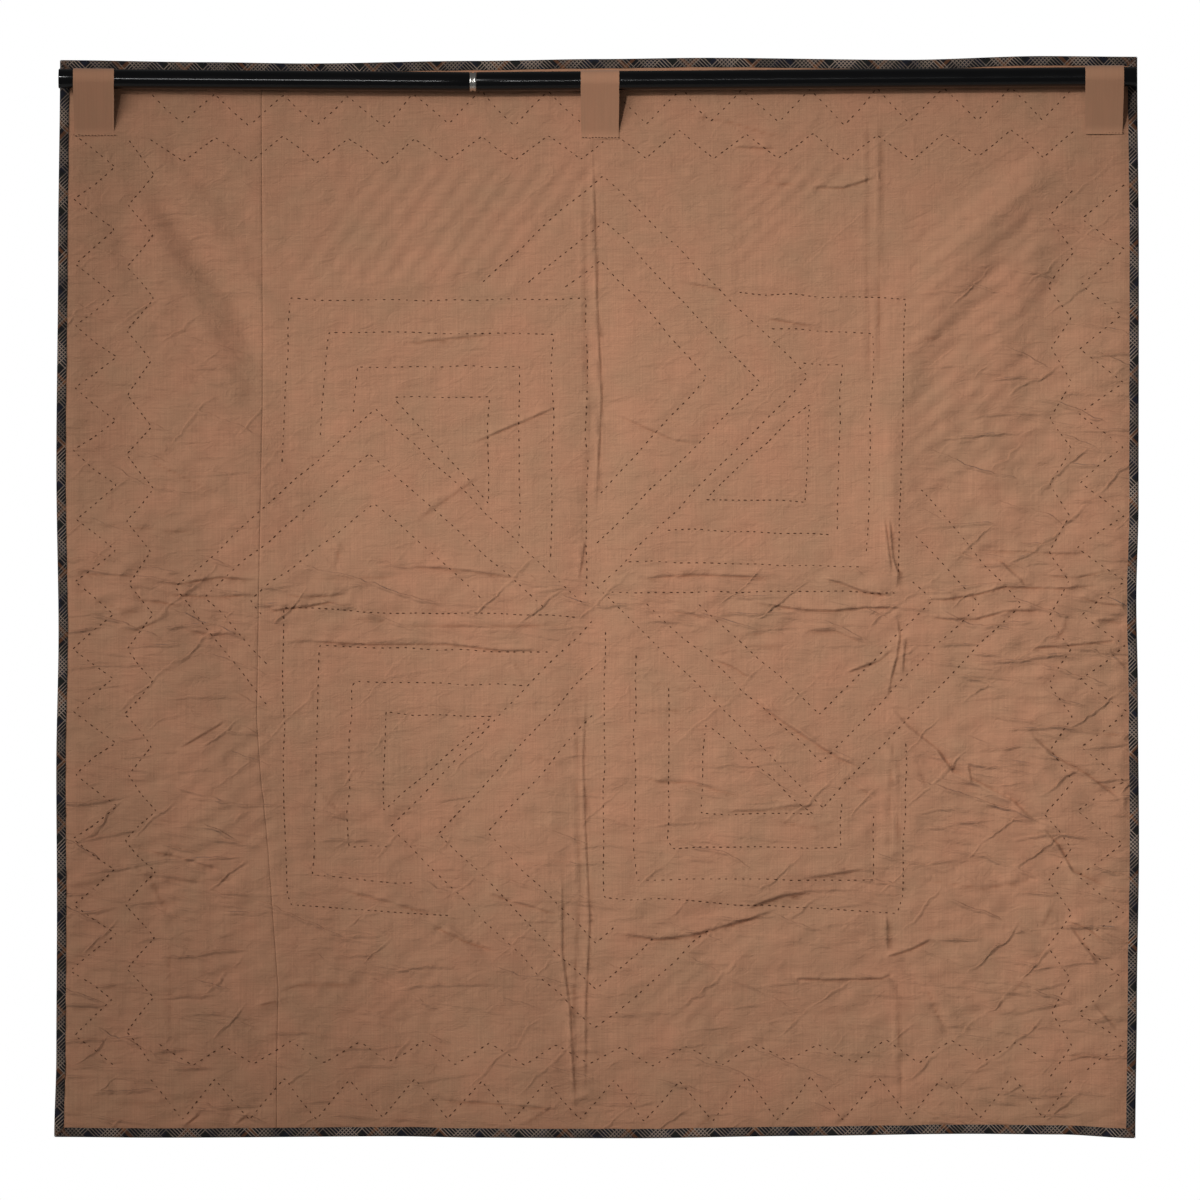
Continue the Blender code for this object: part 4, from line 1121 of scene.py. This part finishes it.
# Yarn-dyed cotton plaid laid on the bias: charcoal ground, groups of thin pale threads that cross at
# 45 degrees to the strip, and wider bars of tan, navy and dull green. The thin threads are about
# 2.7 mm apart on the real cloth, and are drawn a third wider apart so that they still show from afar.
PALE_THREADS_APART = 3.6 * MM
PALE_THREAD_SHARE = 0.30  # how much of that is thread
PALE_GROUP = 36.0 * MM
BARS_REPEAT = 58.0 * MM
bias_plaid, tree = new_material("bias_cut_plaid_cotton")
strip = add_node(tree, "UVMap", uv_map="strip")
turned = add_node(tree, "Mapping", {"Vector": strip, "Rotation": (0, 0, math.radians(45))})
apart = add_node(tree, "SeparateXYZ", {0: turned})


def along_repeat(axis, repeat, offset):
    """How far through its repeat a point lies, across one set of threads, from 0 to 1."""
    across = apart.outputs[axis]
    at = add_node(tree, "Math", {0: across, 1: 1 / repeat, 2: offset}, operation="MULTIPLY_ADD")
    return add_node(tree, "Math", {0: at}, operation="FRACT")


def plaid_bars(axis, offset, stops):
    """The wide bars of one set of threads."""
    bars = add_node(tree, "ValToRGB", {0: along_repeat(axis, BARS_REPEAT, offset)})
    fill_ramp(bars, "CONSTANT", [(place, linear(colour)) for place, colour in stops])
    return bars


def pale_threads(axis, offset, share):
    """1 on the thin pale threads of one set, which come in groups that fill a share of their repeat."""
    threads = along_repeat(axis, PALE_THREADS_APART, 0.0)
    threads = add_node(tree, "Math", {0: threads, 1: PALE_THREAD_SHARE}, operation="LESS_THAN")
    group = along_repeat(axis, PALE_GROUP, offset)
    group = add_node(tree, "Math", {0: group, 1: share}, operation="LESS_THAN")
    return add_node(tree, "Math", {0: threads, 1: group}, operation="MULTIPLY")


# where each wide bar or stretch of ground begins in its repeat, and its colour
WARP_BARS = [
    (0.0, "#171517"), (0.14, "#70462a"), (0.21, "#151316"), (0.46, "#171a28"), (0.56, "#161417"),
    (0.78, "#1f2019"), (0.88, "#151316"),
]
WEFT_BARS = [
    (0.0, "#161417"), (0.20, "#181b2a"), (0.32, "#151316"), (0.55, "#70462a"), (0.62, "#161417"),
    (0.84, "#1d1e17"),
]
warp_bars, weft_bars = plaid_bars(0, 0.1, WARP_BARS), plaid_bars(1, 0.45, WEFT_BARS)
both = add_node(tree, "Mix", {0: 0.5, 6: warp_bars, 7: weft_bars}, data_type="RGBA")
warp_pale, weft_pale = pale_threads(0, 0.2, 0.80), pale_threads(1, 0.65, 0.62)
crossed = add_node(tree, "Math", {0: warp_pale, 1: weft_pale}, operation="MAXIMUM")
patchy = add_node(tree, "TexNoise", {"Vector": strip, "Scale": 22.0, "Detail": 1.0})
shown = add_node(tree, "MapRange", {0: patchy, 1: 0.38, 2: 0.62, 3: 0.45, 4: 1.0})
crossed = add_node(tree, "Math", {0: crossed, 1: shown}, operation="MULTIPLY")
both = add_node(tree, "Mix", {0: crossed, 6: both, 7: linear("#8a796c")}, data_type="RGBA")
wear = add_node(tree, "TexNoise", {"Vector": strip, "Scale": 45.0, "Detail": 3.0})
wear_shade = add_node(tree, "MapRange", {0: wear, 1: 0.3, 2: 0.7, 3: 0.75, 4: 1.2})
worn = add_node(tree, "VectorMath", {0: both, "Scale": wear_shade}, operation="SCALE")
fine = add_node(tree, "TexNoise", {"Vector": turned, "Scale": 1400.0, "Detail": 2.0})
bumps = add_node(tree, "Bump", {"Height": fine, "Strength": 0.3, "Distance": 0.3 * MM})
cotton = add_node(
    tree, "BsdfPrincipled",
    {
        "Base Color": worn, "Roughness": 0.9, "Normal": bumps,
        "Specular IOR Level": 0.2, "Sheen Weight": 0.05,
    },
)
add_node(tree, "OutputMaterial", {"Surface": cotton})


def corner_at(signs, inset):
    """The flat point at a corner, inset from both of its sides."""
    z = TOP_EDGE if signs[1] > 0 else TOP_EDGE - HEIGHT
    x = HALF_WIDTH * signs[0]
    return np.array([
        float(edge_at("right" if signs[0] > 0 else "left", z, inset)),
        float(edge_at("top" if signs[1] > 0 else "hem", x, inset)),
    ])


cavity = EDGE_THICKNESS / 2 + GAP
outside = cavity + BINDING_THICKNESS
# The strip's section on one side of the cloth: how far in from the outline, and how far out of the cloth
HALF_WRAP = [
    (BINDING_WIDTH, cavity), (BINDING_WIDTH + 0.3 * MM, outside - 0.5 * MM),
    (BINDING_WIDTH - 0.3 * MM, outside), (7.5 * MM, outside + 0.25 * MM), (3.2 * MM, outside),
    (1.3 * MM, 0.82 * outside), (0.3 * MM, 0.45 * outside),
]
WRAP = [(inset, -out) for inset, out in HALF_WRAP] + [(0, 0)] + HALF_WRAP[::-1]
WRAP += [(BINDING_THICKNESS, cavity), (BINDING_THICKNESS, -cavity)]
round_it = [0.0]
for (a, b), (c, d) in zip(WRAP, WRAP[1:] + WRAP[:1]):
    round_it.append(round_it[-1] + math.hypot(a - c, b - d))
for number, (side, start, end, node) in enumerate(BINDING_SIDES):
    axis = 0 if side in ("top", "hem") else 1
    first, last = corner_at(start, 0)[axis], corner_at(end, 0)[axis]
    places = np.linspace(first, last, BINDING_STEPS + 1)
    waver = HEM_WAVER * rough(places, 0 * places, 0.035, 1.0, 48.0 + number)
    swell = 1 + SHORT_SWELL * rough(places, 0 * places, 0.012, 1.0, 40.0 + number)
    swell = swell + LONG_SWELL * rough(places, 0 * places, 0.05, 1.0, 44.0 + number)
    columns = []
    for inset, out in WRAP + WRAP[:1]:
        inset = inset + waver if inset > BINDING_WIDTH / 2 else inset + 0 * waver
        one, other = corner_at(start, BINDING_WIDTH)[axis], corner_at(end, BINDING_WIDTH)[axis]
        low = np.interp(inset, (0, BINDING_WIDTH), sorted([first, one], key=lambda v: abs(v - first)))
        high = np.interp(inset, (0, BINDING_WIDTH), sorted([last, other], key=lambda v: abs(v - last)))
        sign = np.sign(last - first)
        along = sign * np.clip(sign * places, sign * low + GAP, sign * high - GAP)
        beside = edge_at(side, along, inset)
        x, z = (along, beside) if axis == 0 else (beside, along)
        grown = out * swell if abs(out) > cavity + GAP / 3 else out + 0 * swell
        columns.append(np.stack([x, middle(x, z) + grown, z], axis=1))
    bm = bmesh.new()
    bmesh.ops.create_grid(bm, x_segments=len(WRAP), y_segments=BINDING_STEPS, size=0.5)
    layer = bm.loops.layers.uv.new("strip")
    for face in bm.faces:
        for corner in face.loops:
            j = round((corner.vert.co.x + 0.5) * len(WRAP))
            corner[layer].uv = ((corner.vert.co.y + 0.5) * abs(last - first), round_it[j])
    for vertex in bm.verts:
        j, i = round((vertex.co.x + 0.5) * len(WRAP)), round((vertex.co.y + 0.5) * BINDING_STEPS)
        vertex.co = columns[j][i]
    bmesh.ops.remove_doubles(bm, verts=bm.verts, dist=1e-6)
    bmesh.ops.holes_fill(bm, edges=[e for e in bm.edges if e.is_boundary], sides=0)
    bmesh.ops.recalc_face_normals(bm, faces=bm.faces)
    piece = finished(bm, node + "_strip", bias_plaid, 60)
    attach(piece, "root")
    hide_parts(node)

# ---------------------------------------------------------------------------------------------
# The rod
# Two lengths of steel tube, black enamelled, pushed together in a bright turned ring. It carries
# the quilt by its tabs.

ROD_RADIUS = 12.7 * MM
ROD_LEFT_END = Vector((-0.700, 0, -1.3 * MM))
ROD_RIGHT_END = Vector((0.700, 0, 1.3 * MM))
ROD_JOINT = Vector((-0.162, 0, -5.5 * MM))
JOINT_WIDTH = 8.4 * MM
BEAD_WIDTH = 3.2 * MM
BEAD_RISE = 0.9 * MM
BEAD_STEPS = 8
ROD_EDGE = 0.7 * MM  # how far its ends are eased
ROD_SEGMENTS = 64
ROD_CUTS = 12

# Stoved black enamel on steel: smooth, half gloss, with a trace of orange peel.
enamel, tree = new_material("black_stove_enamel")
place = add_node(tree, "TexCoord").outputs["Object"]
peel = add_node(tree, "TexNoise", {"Vector": place, "Scale": 240.0, "Detail": 2.0})
peel_bump = add_node(tree, "Bump", {"Height": peel, "Strength": 0.05, "Distance": 0.1 * MM})
dust = add_node(tree, "TexNoise", {"Vector": place, "Scale": 35.0, "Detail": 5.0})
dull = add_node(tree, "MapRange", {0: dust, 1: 0.3, 2: 0.7, 3: 0.13, 4: 0.19})
black = add_node(
    tree, "BsdfPrincipled",
    {
        "Base Color": linear("#050506"), "Roughness": dull, "Normal": peel_bump,
        "Specular IOR Level": 0.35,
    },
)
add_node(tree, "OutputMaterial", {"Surface": black})

# Nickel-plated steel, turned and buffed: mirror bright with fine rings left by the tool.
steel, tree = new_material("buffed_nickel_plate")
place = add_node(tree, "TexCoord").outputs["Object"]
ring_place = add_node(tree, "Mapping", {"Vector": place, "Scale": (4000.0, 20.0, 20.0)})
tooling = add_node(tree, "TexNoise", {"Vector": ring_place, "Scale": 1.0, "Detail": 2.0})
shine = add_node(tree, "MapRange", {0: tooling, 1: 0.3, 2: 0.7, 3: 0.18, 4: 0.32})
bright = linear("#cfccc6")
plate = add_node(tree, "BsdfPrincipled", {"Base Color": bright, "Metallic": 1.0, "Roughness": shine})
add_node(tree, "OutputMaterial", {"Surface": plate})


def make_rod(name, start, end):
    """A length of round rod with eased ends."""
    run = end - start
    turn = Vector((0, 0, 1)).rotation_difference(run).to_matrix().to_4x4()
    bm = bmesh.new()
    bmesh.ops.create_cone(
        bm, cap_ends=True, segments=ROD_SEGMENTS, radius1=ROD_RADIUS, radius2=ROD_RADIUS,
        depth=run.length, matrix=Matrix.Translation((start + end) / 2) @ turn,
    )
    rims = [e for e in bm.edges if any(len(f.verts) > 4 for f in e.link_faces)]
    bmesh.ops.bevel(bm, geom=rims, offset=ROD_EDGE, segments=3, profile=0.5, affect="EDGES", material=-1)
    lengthwise = [e for e in bm.edges if (e.verts[0].co - e.verts[1].co).length > 0.1]
    bmesh.ops.subdivide_edges(bm, edges=lengthwise, cuts=ROD_CUTS)
    return finished(bm, name, enamel, 40)


to_left = (ROD_LEFT_END - ROD_JOINT).normalized()
to_right = (ROD_RIGHT_END - ROD_JOINT).normalized()
clear = JOINT_WIDTH / 2 + GAP
for name, start, end in (
    ("rod_left", ROD_LEFT_END, ROD_JOINT + to_left * clear),
    ("rod_right", ROD_JOINT + to_right * clear, ROD_RIGHT_END),
):
    piece = make_rod(name + "_tube", start, end)
    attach(piece, "root")
    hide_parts(name)

# the ring's section: a low neck between two rounded beads
half, low = JOINT_WIDTH / 2, ROD_RADIUS - BEAD_RISE
profile = [(-half, 0), (-half, low)]
for middle_of_bead in (-half + BEAD_WIDTH / 2, half - BEAD_WIDTH / 2):
    for i in range(BEAD_STEPS + 1):
        angle = math.pi * (1 - i / BEAD_STEPS)
        rise = BEAD_RISE * math.sin(angle)
        profile.append((middle_of_bead + 0.46 * BEAD_WIDTH * math.cos(angle), low + rise))
profile += [(half, low), (half, 0)]
bm = bmesh.new()
points = [bm.verts.new((radius, 0, place)) for place, radius in profile]
edges = [bm.edges.new(pair) for pair in zip(points, points[1:])]
bmesh.ops.spin(
    bm, geom=points + edges, axis=(0, 0, 1), cent=(0, 0, 0), angle=2 * math.pi,
    steps=ROD_SEGMENTS, use_merge=True,
)
bmesh.ops.remove_doubles(bm, verts=bm.verts, dist=1e-6)
turn = Vector((0, 0, 1)).rotation_difference(to_right - to_left).to_matrix().to_4x4()
bmesh.ops.transform(bm, matrix=Matrix.Translation(ROD_JOINT) @ turn, verts=bm.verts)
bmesh.ops.recalc_face_normals(bm, faces=bm.faces)
piece = finished(bm, "rod_joint_ring", steel, 40)
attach(piece, "root")
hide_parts("rod_joint")

# ---------------------------------------------------------------------------------------------
# The three tabs
# Short strips of the brown cotton, their raw sides turned in, sewn under the binding at the top,
# brought over the rod and stitched down to the backing below it.

TAB_THICKNESS = 1.2 * MM
TAB_SEAM = -75.0 * MM
# the CAD node, its middle (m across), its width, and how much lower than TAB_SEAM it is sewn down
TABS = [
    ("tab_left", -0.6545, 0.053, 0.000),
    ("tab_centre", 0.0030, 0.050, 0.003),
    ("tab_right", 0.6580, 0.050, -0.003),
]
TAB_SEWN = 6.0 * MM  # how much of a tab's foot lies flat on the backing
TAB_STITCH_PITCH = 4.2 * MM
TAB_STITCH_LENGTH = 3.0 * MM
TAB_THREAD = 0.9 * MM
TAB_HEM_RISE = 0.6 * MM  # how far above the tab's end its stitches lie
TAB_TAPER = 0.03  # how much narrower a tab is at its foot, as a share
TAB_SWAY = 0.4 * MM
TAB_COLUMNS = 24
TAB_BEND_STEPS = 24
TAB_RUN_STEPS = 12


def rod_height(x):
    """Height of the rod's centre line."""
    end = ROD_LEFT_END if x < ROD_JOINT.x else ROD_RIGHT_END
    return ROD_JOINT.z + (end.z - ROD_JOINT.z) * (x - ROD_JOINT.x) / (end.x - ROD_JOINT.x)


def tab_path(x, seam):
    """The middle line of a tab at one place across it (y, z): from the binding, over the rod, to its foot."""
    rod = rod_height(x)
    around = ROD_RADIUS + GAP + TAB_THICKNESS / 2
    off_cloth = THICKNESS / 2 + GAP * 2 + TAB_THICKNESS / 2
    binding_edge = float(edge_at("top", np.array(x), BINDING_WIDTH))
    top = min(rod + around - 1.0 * MM, binding_edge - GAP - TAB_THICKNESS / 2)
    behind = float(middle(x, top)) - EDGE_THICKNESS / 2 - GAP * 2 - TAB_THICKNESS / 2
    start = Vector((behind, top))
    foot_top = Vector((float(middle(x, seam)) - off_cloth, seam + TAB_SEWN))
    foot_end = Vector((float(middle(x, seam - TAB_SEWN)) - off_cloth, seam - 1 * MM))
    centre = Vector((0.0, rod))
    to_foot = foot_top - centre
    leave = math.atan2(to_foot.y, to_foot.x) - math.acos(around / to_foot.length)
    path = [start, start.lerp(centre + Vector((0, around)), 0.5)]
    angle_from, angle_to = math.pi / 2, leave + 2 * math.pi
    for i in range(TAB_BEND_STEPS + 1):
        angle = angle_from + (angle_to - angle_from) * i / TAB_BEND_STEPS
        path.append(centre + around * Vector((math.cos(angle), math.sin(angle))))
    leaving = path[-1]
    path += [leaving.lerp(foot_top, i / TAB_RUN_STEPS) for i in range(1, TAB_RUN_STEPS)]
    return path + [foot_top, foot_top.lerp(foot_end, 0.5), foot_end]


# The same plain brown cotton, pulled smooth by the weight: thick and thin threads run down the strip.
tab_cotton, tree = new_material("plain_weave_tab_cotton")
strip = add_node(tree, "TexCoord").outputs["Object"]
slub_place = add_node(tree, "Mapping", {"Vector": strip, "Scale": (520.0, 9.0, 12.0)})
slubs = add_node(tree, "TexNoise", {"Vector": slub_place, "Scale": 1.0, "Detail": 3.0})
fade_place = add_node(tree, "Mapping", {"Vector": strip, "Scale": (60.0, 20.0, 20.0)})
fading = add_node(tree, "TexNoise", {"Vector": fade_place, "Scale": 1.0, "Detail": 2.0})
cloth_colour = add_node(tree, "Mix", {0: fading, 6: WORN_BROWN, 7: RED_BROWN}, data_type="RGBA")
slub_shade = add_node(tree, "MapRange", {0: slubs, 1: 0.3, 2: 0.7, 3: 0.96, 4: 1.03})
woven = add_node(tree, "VectorMath", {0: cloth_colour, "Scale": slub_shade}, operation="SCALE")
slub_bump = add_node(tree, "Bump", {"Height": slubs, "Strength": 0.3, "Distance": 0.4 * MM})
cotton = add_node(
    tree, "BsdfPrincipled",
    {
        "Base Color": woven, "Roughness": 0.9, "Normal": slub_bump,
        "Specular IOR Level": 0.25, "Sheen Weight": 0.12, "Sheen Roughness": 0.5,
    },
)
add_node(tree, "OutputMaterial", {"Surface": cotton})

for number, (name, place, width, drop) in enumerate(TABS):
    columns = []
    for i in range(TAB_COLUMNS + 1):
        share = i / TAB_COLUMNS - 0.5
        columns.append((share, tab_path(place + width * share, TAB_SEAM - drop)))
    steps = len(columns[0][1])
    bm = bmesh.new()
    bmesh.ops.create_grid(bm, x_segments=TAB_COLUMNS, y_segments=steps - 1, size=0.5)
    for vertex in bm.verts:
        i = round((vertex.co.x + 0.5) * TAB_COLUMNS)
        j = round((0.5 - vertex.co.y) * (steps - 1))
        share, path = columns[i]
        taper = 1 - TAB_TAPER * smooth((j - steps * 0.6) / (steps * 0.4))
        sway = TAB_SWAY * noise.noise(Vector((number * 7.0, j * 0.35, 3.0)))
        vertex.co = (place + width * share * float(taper) + sway, path[j].x, path[j].y)
    bmesh.ops.recalc_face_normals(bm, faces=bm.faces)
    bmesh.ops.solidify(bm, geom=list(bm.faces), thickness=TAB_THICKNESS)
    bmesh.ops.recalc_face_normals(bm, faces=bm.faces)
    piece = finished(bm, name + "_strip", tab_cotton, 50)
    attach(piece, "root")
    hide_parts(name)


def tab_front(x, z):
    """The shown face of a tab's foot, where its hem is sewn down."""
    return middle(x, z) - THICKNESS / 2 - 2 * GAP - TAB_THICKNESS - 0.1 * MM


hem_ends = []
for name, place, width, drop in TABS:
    for i in range(round(width / TAB_STITCH_PITCH)):
        start = place - width / 2 + (i + 0.3) * TAB_STITCH_PITCH
        height = TAB_SEAM - drop + TAB_HEM_RISE + draws.gauss(0, 0.3 * MM)
        hem_ends.append([(start, height), (start + TAB_STITCH_LENGTH, height + draws.gauss(0, 0.2 * MM))])
piece = sew("tab_hem_stitches", np.array(hem_ends), tab_front, dark_thread, TAB_THREAD)
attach(piece, "root")

# ---------------------------------------------------------------------------------------------
# The sizes
# The least and greatest corners of the pieces that are shown, the floor left out.

low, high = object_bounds()
list(low)
